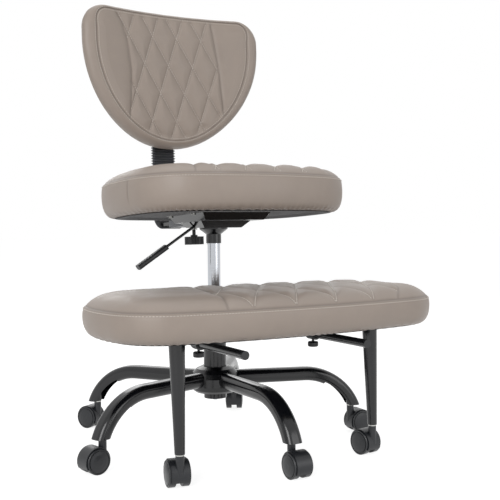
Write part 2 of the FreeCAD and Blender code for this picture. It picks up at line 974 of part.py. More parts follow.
def lever_paddle():
    """A ribbed handle along the lever: a flattened rounded bar with a blind bore for the rod."""
    half_width = paddle_width / 2
    half_height = paddle_height / 2
    bar = block(0, paddle_length, -half_width, half_width, -half_height, half_height)
    long_edges = [edge for edge in bar.Edges if edge.BoundBox.XLength > paddle_length / 2]
    bar = bar.makeFillet(paddle_height * paddle_roundness, long_edges)
    for index in range(paddle_groove_count):
        x = paddle_length - paddle_groove_first - index * paddle_groove_pitch
        for side in (-1, 1):
            z = side * (half_height + paddle_groove_radius - paddle_groove_sink)
            groove = Part.makeCylinder(
                paddle_groove_radius, 2 * paddle_width, Vector(x, -paddle_width, z), Vector(0, 1, 0)
            )
            bar = bar.cut(groove)
    bar = bar.cut(Part.makeCylinder(lever_rod_radius, lever_in_paddle, Vector(0, 0, 0), Vector(1, 0, 0)))
    start = Vector(lever_pivot_x, 0, lever_axis_height).add(
        lever_direction().multiply(lever_rod_length - lever_in_paddle)
    )
    turned = turn(bar, 180 - lever_slope, Vector(0, 1, 0))
    return place(turned, start.x, start.y, start.z)


def seat_plate():
    """The pressed plate screwed under the seat board, with a flange along each side."""
    plate = tray(
        seat_plate_front, seat_plate_rear, seat_plate_half, seat_plane, seat_plate_rim,
        seat_plate_flare, pan_wall,
    )
    flare_x = seat_plate_half + seat_plate_flare
    reach = flare_x + seat_plate_flange
    front = seat_plate_front + seat_plate_flange_inset
    rear = seat_plate_rear - seat_plate_flange_inset
    low = seat_plate_rim - pan_wall
    for side in (-1, 1):
        x0, x1 = sorted((side * (flare_x - 1.5 * pan_wall), side * reach))
        plate = plate.fuse(block(x0, x1, front, rear, low, seat_plate_rim))
    plate = plate.cut(post(lower_pan_hole, seat_plane - cut_margin, seat_plane + 2 * pan_wall))
    for x, y in seat_screw_places():
        plate = plate.cut(post(screw_radius, seat_plane, seat_plate_rim + cut_margin, x, y))
    return plate


def seat_screw_places():
    x = seat_plate_half + seat_plate_flare + seat_plate_flange / 2
    ends = (seat_plate_front + seat_screw_inset, seat_plate_rear - seat_screw_inset)
    return [(side * x, y) for side in (-1, 1) for y in ends]


def bracket_screw_places():
    x = bracket_half_width + bracket_flange / 2
    ends = (bracket_front + bracket_screw_front, bracket_rear - bracket_screw_rear)
    return [(side * x, y) for side in (-1, 1) for y in ends]


def screw_up(x, y, seat_z, length):
    """A round-headed screw that comes up from below, its head under seat_z."""
    head = post(screw_head_radius, seat_z - screw_head_height, seat_z, x, y)
    shank = post(screw_radius, seat_z, seat_z + length, x, y)
    return head.fuse(shank)


def seat_plan():
    return Plan(
        seat_half_width, seat_half_depth, seat_side_bow, seat_front_bow, seat_corner, seat_centre_y
    )


def knee_plan():
    return Plan(
        knee_half_width, knee_half_depth, knee_side_bow, knee_front_bow, knee_corner, knee_centre_y
    )


def wrapped_cushion(plan, bottom, bottom_inset, boxing, crown, board_low, board_thickness, blades):
    """A cushion wrapped round its board, with the middle of its underside left open."""
    body = cushion(plan, bottom, bottom_inset, boxing, crown, blades)
    pocket = plan.slab(board_inset, board_low, board_low + board_thickness)
    mouth = plan.slab(cover_inset, bottom - cut_margin, board_low + cut_margin)
    return body.cut(pocket).cut(mouth)


def make_seat():
    plan = seat_plan()
    board_low = seat_plate_rim
    board_top = board_low + seat_board_thickness
    bottom = board_low - seat_wrap
    seam = bottom + seat_boxing_height
    blades = diamond_channels(
        plan, seat_panel_half, seat_diamond_width, seat_diamond_length, seam, seat_crown
    )
    pad = wrapped_cushion(
        plan, bottom, seat_bottom_inset, seat_boxing_height, seat_crown,
        board_low, seat_board_thickness, blades,
    )
    bracket_reach = bracket_half_width + bracket_flange + cutout_gap
    bracket_room = block(
        -bracket_reach, bracket_reach, bracket_front - cutout_gap, seat_half_depth,
        bottom - cut_margin, board_low,
    )
    save("seat_cushion", tilt(pad.cut(bracket_room)))
    board = plan.slab(board_inset, board_low, board_top)
    screws = []
    for x, y in seat_screw_places():
        screws.append(screw_up(x, y, seat_plate_rim - pan_wall, pan_wall + screw_bite))
    for x, y in bracket_screw_places():
        screws.append(screw_up(x, y, seat_plate_rim - bracket_wall, bracket_wall + screw_bite))
    for screw in screws:
        board = board.cut(screw)
    save("seat_board", tilt(board))
    save("seat_fasteners", group([tilt(group(screws)), tilt(clamp_nut()), lever_pin()]))
    cover = plan.slab(cover_inset + cover_gap, board_low - cover_sheet, board_low)
    plate_reach = seat_plate_half + seat_plate_flare + seat_plate_flange + cutout_gap
    plate_room = block(
        -plate_reach, plate_reach, seat_plate_front - seat_plate_flare - cutout_gap,
        seat_plate_rear + seat_plate_flare + cutout_gap, bottom, board_low + cut_margin,
    )
    save("seat_dust_cover", tilt(cover.cut(plate_room).cut(bracket_room)))
    save("seat_plate", tilt(seat_plate()))
    save("lower_pan", lower_pan())
    save("taper_hub", taper_hub())
    save("lift_lever", lift_lever())
    save("lever_paddle", lever_paddle())


# Backrest bar, its bracket and knobs
def bar_bracket():
    """The channel under the seat that holds the bar, with a screwed flange along each side."""
    high = seat_plate_rim
    half = bracket_half_width
    shell = block(-half, half, bracket_front, bracket_rear, bracket_floor, high)
    inside = half - bracket_wall
    shell = shell.cut(block(
        -inside, inside, bracket_front - cut_margin, bracket_rear + cut_margin,
        bracket_floor + bracket_wall, high + cut_margin,
    ))
    flange_front = bracket_front + bracket_flange_setback
    for side in (-1, 1):
        x0, x1 = sorted((side * inside, side * (half + bracket_flange)))
        shell = shell.fuse(block(x0, x1, flange_front, bracket_rear, high - bracket_wall, high))
    for x, y in bracket_screw_places():
        shell = shell.cut(post(screw_radius, bracket_floor, high + cut_margin, x, y))
    return shell.cut(knob_stem(knob_stem_gap))


def bar_pad():
    """The pad under the seat board that the bar is clamped up against."""
    return block(
        -pad_half_width, pad_half_width, bracket_front + pad_front_setback,
        bracket_rear - pad_rear_setback, bar_underside + bar_thickness + bar_pad_gap, seat_plate_rim,
    )


def knob_stem(grow=0.0):
    high = bar_underside - knob_point_gap
    return post(knob_stem_radius + grow, knob_top - knob_insert, high, 0, depth_knob_y)


def star_knob(radius, height, lobes, lobe_radius, stem_radius):
    """A lobed hand knob about the Z axis, its top at z = 0 and a collar above that."""
    knob = post(radius - lobe_radius * knob_lobe_sink, -height, 0)
    for index in range(lobes):
        angle = 2 * math.pi * index / lobes
        x = (radius - lobe_radius) * math.cos(angle)
        y = (radius - lobe_radius) * math.sin(angle)
        knob = knob.fuse(post(lobe_radius, -height, 0, x, y))
    knob = knob.removeSplitter()
    return knob.fuse(post(stem_radius + knob_collar_wall, 0, knob_collar_height))


def clamp_nut():
    bore = knob_stem_radius + running_gap
    return sleeve(nut_radius, bore, bracket_floor - nut_height, bracket_floor, 0, depth_knob_y)


def make_bracket():
    save("bar_bracket", tilt(bar_bracket()))
    save("bar_pad", tilt(bar_pad()))
    stem = knob_stem()
    knob = star_knob(knob_radius, knob_height, knob_lobes, knob_lobe_radius, knob_stem_radius)
    knob = place(knob, 0, depth_knob_y, knob_top).cut(stem)
    save("depth_knob", tilt(knob.fuse(stem)))


def bar_profile(offset):
    """Lower line of the L-bar at a distance offset inside it: a run back, a bend, and an upright."""
    y_flat = bar_inner_end
    z_flat = bar_underside + offset
    y_up = bar_upright_y + bar_thickness / 2 - offset
    radius = bar_bend_radius + bar_thickness / 2 - offset
    centre = Vector(0, y_up - radius, z_flat + radius)
    quarter = math.radians(45)
    middle = centre.add(Vector(0, radius * math.sin(quarter), -radius * math.cos(quarter)))
    return (
        Vector(0, y_flat, z_flat),
        Vector(0, centre.y, z_flat),
        middle,
        Vector(0, y_up, centre.z),
        Vector(0, y_up, bar_top),
    )


def l_bar():
    a = bar_profile(0.0)
    b = bar_profile(bar_thickness)
    edges = [
        Part.LineSegment(a[0], a[1]).toShape(),
        Part.Arc(a[1], a[2], a[3]).toShape(),
        Part.LineSegment(a[3], a[4]).toShape(),
        Part.LineSegment(a[4], b[4]).toShape(),
        Part.LineSegment(b[4], b[3]).toShape(),
        Part.Arc(b[3], b[2], b[1]).toShape(),
        Part.LineSegment(b[1], b[0]).toShape(),
        Part.LineSegment(b[0], a[0]).toShape(),
    ]
    face = Part.Face(Part.Wire(edges))
    return place(face.extrude(Vector(2 * bar_half_width, 0, 0)), -bar_half_width)


def sleeve_section(centre, along, grow):
    """A rounded rectangle around the bar, square to the direction along."""
    half_u = bar_half_width + sleeve_gap + grow
    half_v = bar_thickness / 2 + sleeve_gap + grow
    corner = min(sleeve_corner, 0.9 * half_v)
    normal = Vector(0, -along.z, along.y)

    def at(u, v):
        return centre.add(Vector(u, 0, 0)).add(Vector(normal).multiply(v))

    return rounded_wire(at, half_u, half_v, -half_v, corner)


def upper_sleeve():
    """The ribbed sleeve on the upright of the bar."""
    low = bar_sleeve_low()
    pitch = (housing_bottom - sleeve_end_gap - low) / sleeve_ribs_upper
    sections = []
    for index in range(2 * sleeve_ribs_upper + 1):
        grow = sleeve_wall + (sleeve_rib if index % 2 else 0.0)
        centre = Vector(0, bar_upright_y, low + index * pitch / 2)
        sections.append(sleeve_section(centre, Vector(0, 0, 1), grow))
    outer = Part.makeLoft(sections, True, True)
    half_x = bar_half_width + sleeve_gap
    half_y = bar_thickness / 2 + sleeve_gap
    bore = block(
        -half_x, half_x, bar_upright_y - half_y, bar_upright_y + half_y, low - cut_margin, housing_bottom
    )
    return outer.cut(bore)


def bar_sleeve_low():
    return bar_underside + bar_thickness / 2 + bar_bend_radius + sleeve_end_gap


def lower_sleeve():
    """The ribbed sleeve round the bend of the bar, its ribs fanned about the bend's centre."""
    centre_line = bar_underside + bar_thickness / 2
    pivot = Vector(0, bar_upright_y - bar_bend_radius, centre_line + bar_bend_radius)
    sections = []
    count = 2 * sleeve_ribs_bend
    for index in range(count + 1):
        angle = math.radians(90.0 * index / count)
        along = Vector(0, math.cos(angle), math.sin(angle))
        centre = pivot.add(Vector(0, math.sin(angle), -math.cos(angle)).multiply(bar_bend_radius))
        grow = sleeve_wall + (sleeve_rib if index % 2 else 0.0)
        sections.append(sleeve_section(centre, along, grow))
    outer = Part.makeLoft(sections, True, True)
    half = bar_half_width + sleeve_gap
    near = bar_bend_radius - bar_thickness / 2 - sleeve_gap
    far = bar_bend_radius + bar_thickness / 2 + sleeve_gap
    ring = Part.makeCylinder(far, 2 * half, Vector(-half, pivot.y, pivot.z), Vector(1, 0, 0))
    inner_half = half + cut_margin
    ring = ring.cut(Part.makeCylinder(
        near, 2 * inner_half, Vector(-inner_half, pivot.y, pivot.z), Vector(1, 0, 0)
    ))
    return outer.cut(ring)


# Backrest
def back_outline():
    """The D-shaped outline, seen from the front, as lines and tangent arcs."""
    a = back_half_width
    drop = back_widest - back_bottom
    r1 = back_lower_radius
    side_numerator = a * a + (drop - r1) ** 2 - r1 * r1
    r2 = side_numerator / (2 * (a - r1))
    side_x = a - r2
    low_z = back_bottom + r1
    joint = Vector(-side_x, 0, low_z - back_widest)
    joint.normalize()
    meet = Vector(side_x, 0, back_widest).add(joint.multiply(r2))
    half_angle = 0.5 * math.atan2(back_widest - meet.z, meet.x - side_x)
    side_middle = Vector(side_x + r2 * math.cos(half_angle), 0, back_widest - r2 * math.sin(half_angle))
    c = back_corner
    bend = c * (1 - math.sqrt(0.5))
    top = back_top

    def flip(point):
        return Vector(-point.x, point.y, point.z)

    right = Vector(a, 0, back_widest)
    upper = Vector(a, 0, top - c)
    corner = Vector(a - bend, 0, top - bend)
    crown = Vector(a - c, 0, top)
    edges = [
        Part.Arc(meet, side_middle, right).toShape(),
        Part.LineSegment(right, upper).toShape(),
        Part.Arc(upper, corner, crown).toShape(),
        Part.LineSegment(crown, flip(crown)).toShape(),
        Part.Arc(flip(crown), flip(corner), flip(upper)).toShape(),
        Part.LineSegment(flip(upper), flip(right)).toShape(),
        Part.Arc(flip(right), flip(side_middle), flip(meet)).toShape(),
        Part.Arc(flip(meet), Vector(0, 0, back_bottom), meet).toShape(),
    ]
    return Part.Wire(edges)


def back_prism(inset):
    """The outline, drawn in by an inset, as a long bar that runs from front to back."""
    wire = back_outline()
    if inset:
        wire = wire.makeOffset2D(-inset)
    return place(Part.Face(wire).extrude(Vector(0, 2 * back_rear_y, 0)), 0, 0)


def back_layer(front_y, front_radius, rear_y, rear_radius):
    """The space between two upright cylinders whose rearmost lines lie at front_y and rear_y."""
    low = back_bottom - back_thickness
    height = back_height + 2 * back_thickness
    outer = Part.makeCylinder(rear_radius, height, Vector(0, rear_y - rear_radius, low))
    inner = Part.makeCylinder(
        front_radius, height + 2 * cut_margin, Vector(0, front_y - front_radius, low - cut_margin)
    )
    return outer.cut(inner)


def make_backrest():
    split_y = back_rear_y - rear_panel
    split_radius = back_rear_radius - rear_panel
    whole = back_prism(0.0).common(
        back_layer(back_front_y, back_front_radius, back_rear_y, back_rear_radius)
    )
    whole = whole.makeFillet(back_edge_round, whole.Edges)
    rear_space = back_layer(
        split_y, split_radius, back_rear_y + back_thickness, back_rear_radius + back_thickness
    )
    pad = whole.cut(rear_space)
    rear = whole.common(rear_space)
    board_space = back_layer(
        split_y, split_radius, split_y + back_board_thickness, split_radius + back_board_thickness
    )
    board = back_prism(back_board_inset).common(board_space)
    rear = rear.cut(board)
    housing = back_housing()
    screws = [back_screw(x, z) for x, z in back_screw_places()]
    for screw in screws:
        rear = rear.cut(screw)
        board = board.cut(screw)
    save("back_cushion", tilt(back_channels(pad)))
    save("back_board", tilt(board))
    save("back_rear_panel", tilt(rear.cut(housing)))
    save("back_housing", tilt(housing))
    save("back_screws", tilt(group(screws)))
    save("height_knob", tilt(height_knob()))


def back_channels(pad):
    """Diamond channels sewn into the front of the backrest, from upright blades just inside it."""
    lean = math.degrees(math.atan2(back_diamond_width, back_diamond_length))
    middle_z = back_bottom + 0.55 * back_height
    skin = back_layer(
        back_front_y - back_thickness, back_front_radius, back_front_y + channel_depth, back_front_radius
    )
    panel = back_prism(back_panel_inset).common(skin)
    half = channel_width / 2
    steps = int(back_half_width / back_diamond_width)
    for lean_side in (-1, 1):
        for step in range(-steps, steps + 1):
            blade = block(-half, half, 0, back_rear_y, -back_height, back_height)
            blade = turn(blade, lean_side * lean, Vector(0, 1, 0))
            blade = place(blade, step * back_diamond_width, 0, middle_z).common(panel)
            if blade.Solids:
                pad = pad.cut(blade)
    return pad


def back_mount_y():
    """The middle of the board's rear face, which the housing is screwed against."""
    return back_rear_y - rear_panel + back_board_thickness


def housing_y():
    """The front and rear faces of the pocket that slides on the bar."""
    front = bar_upright_y - bar_thickness / 2 - housing_gap
    rear = bar_upright_y + bar_thickness / 2 + housing_gap
    return front, rear


def back_housing():
    """The pocket on the back of the backrest that slides on the bar, with a flange each side."""
    front, rear = housing_y()
    half = housing_half_width
    mount_y = back_mount_y()
    outside = rear + housing_wall
    shell = block(-half, half, mount_y, outside, housing_bottom, housing_top)
    pocket_half = bar_half_width + housing_gap
    shell = shell.cut(block(
        -pocket_half, pocket_half, front, rear, housing_bottom - cut_margin, housing_top + cut_margin
    ))
    for side in (-1, 1):
        x0, x1 = sorted((side * (half - cut_margin), side * (half + housing_flange)))
        shell = shell.fuse(block(
            x0, x1, mount_y - housing_flange_half, mount_y + housing_flange_half,
            housing_bottom + housing_flange_inset, housing_top - housing_flange_inset,
        ))
    board_radius = back_rear_radius - rear_panel + back_board_thickness
    shell = shell.cut(back_layer(mount_y - back_thickness, 4 * back_rear_radius, mount_y, board_radius))
    boss_foot = Vector(0, rear, height_knob_z)
    boss_length = housing_wall + housing_boss_height
    boss = Part.makeCylinder(housing_boss_radius, boss_length, boss_foot, Vector(0, 1, 0))
    shell = shell.fuse(boss).cut(height_stem(running_gap))
    for x, z in back_screw_places():
        shell = shell.cut(back_screw(x, z))
    return shell


def height_stem(grow=0.0):
    """The clamp screw of the backrest, from just clear of the bar into its knob."""
    point = bar_upright_y + bar_thickness / 2 + knob_point_gap
    length = height_knob_face() + knob_insert - point
    return Part.makeCylinder(
        height_knob_stem_radius + grow, length, Vector(0, point, height_knob_z), Vector(0, 1, 0)
    )


def height_knob_face():
    rear = housing_y()[1]
    return rear + housing_wall + housing_boss_height + height_knob_gap + knob_collar_height


def height_knob():
    knob = star_knob(
        height_knob_radius, height_knob_depth, height_knob_lobes, height_knob_lobe_radius,
        height_knob_stem_radius,
    )
    knob = turn(knob, 90, Vector(1, 0, 0))
    stem = height_stem()
    return place(knob, 0, height_knob_face(), height_knob_z).cut(stem).fuse(stem)


def back_screw_places():
    x = housing_half_width + housing_flange - back_screw_side_inset
    ends = (housing_bottom + back_screw_end_inset, housing_top - back_screw_end_inset)
    return [(side * x, z) for side in (-1, 1) for z in ends]


def back_screw(x, z):
    rear = back_mount_y() + housing_flange_half
    shank = Part.makeCylinder(
        back_screw_radius, back_screw_length, Vector(x, rear - back_screw_length, z), Vector(0, 1, 0)
    )
    head = Part.makeCylinder(
        back_screw_head_radius, back_screw_head_height, Vector(x, rear, z), Vector(0, 1, 0)
    )
    return shank.fuse(head)


# Kneeler
def rod_shape(side):
    return Part.makeCylinder(
        guide_rod_radius, guide_rod_length,
        Vector(side * rod_half_spacing, guide_rod_front, guide_rod_height), Vector(0, 1, 0),
    )


def rod_bore(side, grow):
    return Part.makeCylinder(
        guide_rod_radius + grow, 2 * guide_rod_length,
        Vector(side * rod_half_spacing, 1.5 * guide_rod_front, guide_rod_height), Vector(0, 1, 0),
    )


def column_collar():
    """The split collar clamped to the column, with the bolt through its lug."""
    low = guide_rod_height - column_collar_height / 2
    high = guide_rod_height + column_collar_height / 2
    lug_end = column_collar_radius + collar_lug_length
    collar = post(column_collar_radius, low, high)
    collar = collar.fuse(block(-collar_lug_half, collar_lug_half, column_radius, lug_end, low, high))
    collar = collar.cut(post(column_radius, low - cut_margin, high + cut_margin))
    collar = collar.cut(block(
        -collar_slit_half, collar_slit_half, 0, lug_end + cut_margin, low - cut_margin, high + cut_margin
    ))
    bolt_y = column_collar_radius + collar_lug_length / 2
    outside = collar_lug_half + collar_bolt_head_height
    bolt = Part.makeCylinder(
        collar_bolt_radius, 2 * outside, Vector(-outside, bolt_y, guide_rod_height), Vector(1, 0, 0)
    )
    for x in (-outside, collar_lug_half):
        bolt = bolt.fuse(Part.makeCylinder(
            collar_bolt_head_radius, collar_bolt_head_height, Vector(x, bolt_y, guide_rod_height),
            Vector(1, 0, 0),
        ))
    return group([collar.cut(bolt), bolt])


def kneeler_crossbar():
    """The square tube across the column that carries the two guide rods."""
    half = rod_half_spacing + crossbar_overhang
    low = guide_rod_height - crossbar_height / 2
    high = guide_rod_height + crossbar_height / 2
    rear = crossbar_front + crossbar_depth
    wall = crossbar_wall
    bar = block(-half, half, crossbar_front, rear, low, high)
    hollow = block(
        -half - cut_margin, half + cut_margin, crossbar_front + wall, rear - wall, low + wall, high - wall
    )
    return bar.cut(hollow).cut(post(column_collar_radius, low - cut_margin, high + cut_margin))


def make_carrier():
    save("column_collar", column_collar())
    save("kneeler_crossbar", kneeler_crossbar())
    caps = []
    for side in (-1, 1):
        caps.append(Part.makeCylinder(
            guide_rod_radius, rod_cap_length,
            Vector(side * rod_half_spacing, guide_rod_front - rod_cap_length, guide_rod_height),
            Vector(0, 1, 0),
        ))
    save("guide_rods", group([rod_shape(-1), rod_shape(1)]))
    save("rod_end_caps", group(caps))


def guide_block(side, y):
    """A block under the lower cushion's board, bored for its rod and round below."""
    half = block_length / 2
    x = side * rod_half_spacing
    body = block(
        x - block_half_width, x + block_half_width, y - half, y + half, guide_rod_height, knee_board_bottom
    )
    lower = Part.makeCylinder(
        block_half_width, block_length, Vector(x, y - half, guide_rod_height), Vector(0, 1, 0)
    )
    return body.fuse(lower).removeSplitter().cut(rod_bore(side, running_gap))


def lock_knob_top():
    return guide_rod_height - block_half_width - lock_knob_gap


def lock_knob(side, y):
    """A small clamp knob under a guide block, with its screw up to the rod."""
    top = lock_knob_top()
    knob = post(lock_knob_radius, top - lock_knob_height, top, side * rod_half_spacing, y)
    knob = knob.makeFillet(lock_knob_round, [edge for edge in knob.Edges if edge.BoundBox.ZLength < 0.1])
    stem = lock_stem(side, y)
    return knob.cut(stem).fuse(stem)


def lock_stem(side, y, grow=0.0):
    low = lock_knob_top() - lock_knob_insert
    high = guide_rod_height - guide_rod_radius - lock_point_gap
    return post(lock_stem_radius + grow, low, high, side * rod_half_spacing, y)


def leg_shape(side):
    """A tapered tube that leans forward from its plate down to the castor."""
    x = side * leg_x
    top = knee_board_bottom - leg_plate_thickness

    def cone(grow_in):
        foot = Part.Wire([Part.makeCircle(leg_foot_radius - grow_in, Vector(x, leg_y, stem_seat))])
        head = Part.Wire([Part.makeCircle(leg_top_radius - grow_in, Vector(x, leg_y + leg_lean, top))])
        return Part.makeLoft([foot, head], True, True)

    return cone(0.0).cut(cone(leg_wall))


def leg_plate(side):
    x = side * leg_x
    y = leg_y + leg_lean
    half = leg_plate_half
    plate = block(
        x - half, x + half, y - half, y + half, knee_board_bottom - leg_plate_thickness, knee_board_bottom
    )
    corners = [edge for edge in plate.Edges if edge.BoundBox.ZLength > leg_plate_thickness / 2]
    return plate.makeFillet(leg_plate_corner, corners)


def leg_screw_places(side):
    reach = leg_plate_half - leg_screw_inset
    return [
        (side * leg_x + dx * reach, leg_y + leg_lean + dy * reach) for dx in (-1, 1) for dy in (-1, 1)
    ]


def knee_cover_room(x, y, half_x, half_y):
    """A hole in the lower cushion's dust cover round what is fixed to the board there."""
    half_x += cutout_gap
    half_y += cutout_gap
    return block(
        x - half_x, x + half_x, y - half_y, y + half_y,
        knee_board_bottom - 2 * cover_sheet, knee_board_bottom + cover_sheet,
    )


def make_kneeler():
    plan = knee_plan()
    low = knee_board_bottom
    seam = knee_bottom + knee_boxing_height
    blades = diamond_channels(
        plan, knee_panel_half, knee_diamond_width, knee_diamond_length, seam, knee_crown
    )
    save("knee_cushion", wrapped_cushion(
        plan, knee_bottom, knee_bottom_inset, knee_boxing_height, knee_crown,
        low, knee_board_thickness, blades,
    ))
    board = plan.slab(board_inset, low, low + knee_board_thickness)
    cover = plan.slab(cover_inset + cover_gap, low - cover_sheet, low)
    screws = []
    plates = []
    legs = []
    blocks = []
    for side in (-1, 1):
        plate = leg_plate(side)
        for x, y in leg_screw_places(side):
            screw = screw_up(x, y, low - leg_plate_thickness, leg_plate_thickness + screw_bite)
            plate = plate.cut(screw)
            board = board.cut(screw)
            screws.append(screw)
        plates.append(plate)
        insert = sleeve(
            foot_insert_radius, stem_radius, stem_seat, stem_seat + stem_depth, side * leg_x, leg_y
        )
        legs.extend([leg_shape(side).cut(insert), insert])
        cover = cover.cut(knee_cover_room(
            side * leg_x, leg_y + leg_lean, leg_plate_half, leg_plate_half
        ))
        for y in block_places:
            blocks.append(guide_block(side, y))
            cover = cover.cut(knee_cover_room(
                side * rod_half_spacing, y, block_half_width, block_length / 2
            ))
        blocks[-len(block_places)] = blocks[-len(block_places)].cut(
            lock_stem(side, block_places[0], running_gap)
        )
    save("knee_board", board)
    save("knee_dust_cover", cover)
    save("leg_plates", group(plates))
    save("leg_tubes", group(legs))
    save("leg_screws", group(screws))
    save("rod_guide_blocks", group(blocks))
    save("lock_knob_left", lock_knob(-1, block_places[0]))
    save("lock_knob_right", lock_knob(1, block_places[0]))


def make_back_bar():
    save("back_bar", tilt(l_bar()))
    save("bar_sleeve_upper", tilt(upper_sleeve()))
    save("bar_sleeve_lower", tilt(lower_sleeve()))


os.makedirs("parts", exist_ok=True)
make_casters()
make_base()
make_column()
make_seat()
make_bracket()
make_back_bar()
make_backrest()
make_carrier()
make_kneeler()
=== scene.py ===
import math
from dataclasses import dataclass

import bmesh
import bpy
import numpy as np
from bpy.props import FloatProperty, FloatVectorProperty, IntProperty, PointerProperty
from mathutils import Matrix, Vector


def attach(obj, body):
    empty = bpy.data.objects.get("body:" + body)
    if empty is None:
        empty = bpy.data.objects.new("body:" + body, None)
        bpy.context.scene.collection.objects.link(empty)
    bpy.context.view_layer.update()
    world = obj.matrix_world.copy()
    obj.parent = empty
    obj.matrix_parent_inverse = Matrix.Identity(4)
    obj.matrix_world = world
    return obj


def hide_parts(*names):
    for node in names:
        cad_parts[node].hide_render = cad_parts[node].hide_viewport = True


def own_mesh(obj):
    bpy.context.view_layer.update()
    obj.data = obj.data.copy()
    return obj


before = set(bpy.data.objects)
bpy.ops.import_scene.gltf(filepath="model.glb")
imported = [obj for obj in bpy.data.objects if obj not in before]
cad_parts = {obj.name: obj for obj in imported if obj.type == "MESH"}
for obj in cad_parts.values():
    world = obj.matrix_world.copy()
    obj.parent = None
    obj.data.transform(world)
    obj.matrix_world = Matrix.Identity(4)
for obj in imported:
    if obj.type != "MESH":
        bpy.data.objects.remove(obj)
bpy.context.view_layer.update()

bl_info = {
    "name": "Kneeling Chair",
    "version": (1, 0, 0),
    "blender": (4, 5, 0),
    "location": "View3D > Sidebar > Chair",
    "description": "Upholstery, finishes and studio for a castored kneeling chair",
    "category": "Object",
}

# Sizes are in millimetres until a mesh or a shader gets them, and then in metres
MM = 0.001

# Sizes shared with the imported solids. The seat, the backrest and its bar lean back together.
LEANING_BODIES = ("seat", "backrest", "bar")
TILT_ANGLE = math.radians(2.5)
TILT_HEIGHT = 482.0
# Each plan: half width, half depth, side and front bow radii, corner radius, middle along Y
SEAT_PLAN = (245.0, 203.0, 520.0, 640.0, 128.0, -45.0)
SEAT_BOTTOM = 494.0
SEAT_BOXING = 72.0
KNEE_PLAN = (356.0, 177.0, 290.0, 1500.0, 118.0, -216.0)
KNEE_BOTTOM = 271.0
KNEE_BOXING = 57.0
BOARD_LIFT = 6.0
BACK_HALF_WIDTH = 226.0
BACK_BOTTOM = 671.0
BACK_WIDEST = 916.0
BACK_TOP = 994.0
BACK_CORNER = 58.0
BACK_LOWER_RADIUS = 200.0
BACK_FRONT_Y = 188.0
BACK_REAR_Y = 246.0
BACK_FRONT_RADIUS = 820.0
BACK_REAR_RADIUS = 600.0
REAR_PANEL = 17.0
BAR_Y = 261.0
BAR_HALF_WIDTH = 25.0
BAR_THICKNESS = 8.0

# A cushion's seam lies this far in from its outline, and its crown levels off further in
SEAM_INSET = 4.0
CROWN_REACH = 84.0
QUILT_FADE = 48.0
# From the seam down and under: distance in from the outline, and share of the boxing's height
BOXING_PROFILE = (
    (3.2, 0.985), (1.6, 0.965), (0.4, 0.93), (-0.8, 0.87), (-1.6, 0.78), (-2.0, 0.66), (-1.8, 0.54),
    (-1.0, 0.42), (0.6, 0.31), (3.0, 0.21), (6.0, 0.13), (9.6, 0.07), (13.6, 0.028), (18.0, 0.006),
    (24.0, 0.0), (32.0, 0.0), (40.0, 0.012), (43.0, 0.05), (44.0, 0.2),
)
THREAD_LEVEL = 0.915

# The backrest's seam inset at the sides, and from there to its rear split: distance in, depth
BACK_SEAM = 31.0
BACK_SEAM_TOP = 9.0
BACK_SEAM_BOTTOM = 17.0
BACK_CROWN = 22.0
# The face swells by this much and is level this far in; the quilting is full a little sooner
BACK_SWELL = 4.0
BACK_LEVEL = 26.0
BACK_FADE = 12.0
# The backrest's lines are sewn a tenth deeper than the cushions'
BACK_QUILT_SHARE = 1.1
BACK_SPLIT_DEPTH = 41.0
BACK_BAND = (
    (29.6, 4.4), (27.5, 3.4), (24.0, 3.3), (19.5, 4.3), (14.5, 6.6), (10.0, 10.0), (6.0, 14.4),
    (3.0, 19.6), (1.0, 25.4), (0.0, 31.5), (0.4, 36.0), (1.6, 39.0), (3.0, 40.2),
)
# Points across and up the backrest's patches, and the two rows of thread beside its seam:
# one this far inside it, and one on the band at a share of its inset, with that place's depth
BACK_COUNTS = (150, 140)
REAR_COUNTS = (75, 70)
INNER_ROW = 4.5
OUTER_ROW = (0.855, 3.35)
REAR_FACE_INSET = 42.0
# The rear panel from its face to the split: distance in from the outline, depth from the rear
REAR_PROFILE = (
    (34.0, 0.0), (27.0, 0.4), (20.5, 1.2), (14.5, 2.8), (9.5, 5.4), (5.6, 8.6), (2.8, 12.0),
    (1.6, 14.4), (2.6, 16.2), (6.0, 16.9),
)

# The dust cover's rings: distances in from the cushion's outline, then shares of the last one
COVER_INSETS = (25.0, 29.0, 33.0, 37.0, 41.0, 46.0, 52.0, 58.0, 66.0, 76.0, 88.0, 100.0)
COVER_SHARES = (0.8, 0.6, 0.4, 0.2)
COVER_POINTS = 240
COVER_THICKNESS = 0.5

# Studio lamps: name, place, width and height, watts
LAMPS = (
    ("key", (-2.3, -2.0, 1.5), 1.6, 42.0),
    ("fill", (1.2, -2.9, 1.1), 1.8, 17.0),
    ("top", (0.2, 0.4, 3.0), 2.2, 15.0),
    ("rear", (0.8, 2.6, 1.8), 1.6, 15.0),
)
LAMP_AIM = (0.0, -0.05, 0.45)
FLOOR_REACH = 30.0


def srgb_hex(text):
    """Linear red, green and blue of a colour written as six sRGB hex digits."""
    values = [int(text[i : i + 2], 16) / 255 for i in (0, 2, 4)]
    return tuple(v / 12.92 if v <= 0.04045 else ((v + 0.055) / 1.055) ** 2.4 for v in values)


# Settings
def colour_setting(name, description, text):
    return FloatVectorProperty(
        name=name, description=description, subtype="COLOR", size=3, min=0, max=1,
        default=srgb_hex(text),
    )


def length_setting(name, description, size, smallest):
    return FloatProperty(
        name=name, description=description, default=size * MM, min=smallest * MM, unit="LENGTH"
    )


def angle_setting(name, description, degrees):
    return FloatProperty(
        name=name, description=description, default=math.radians(degrees), subtype="ANGLE"
    )


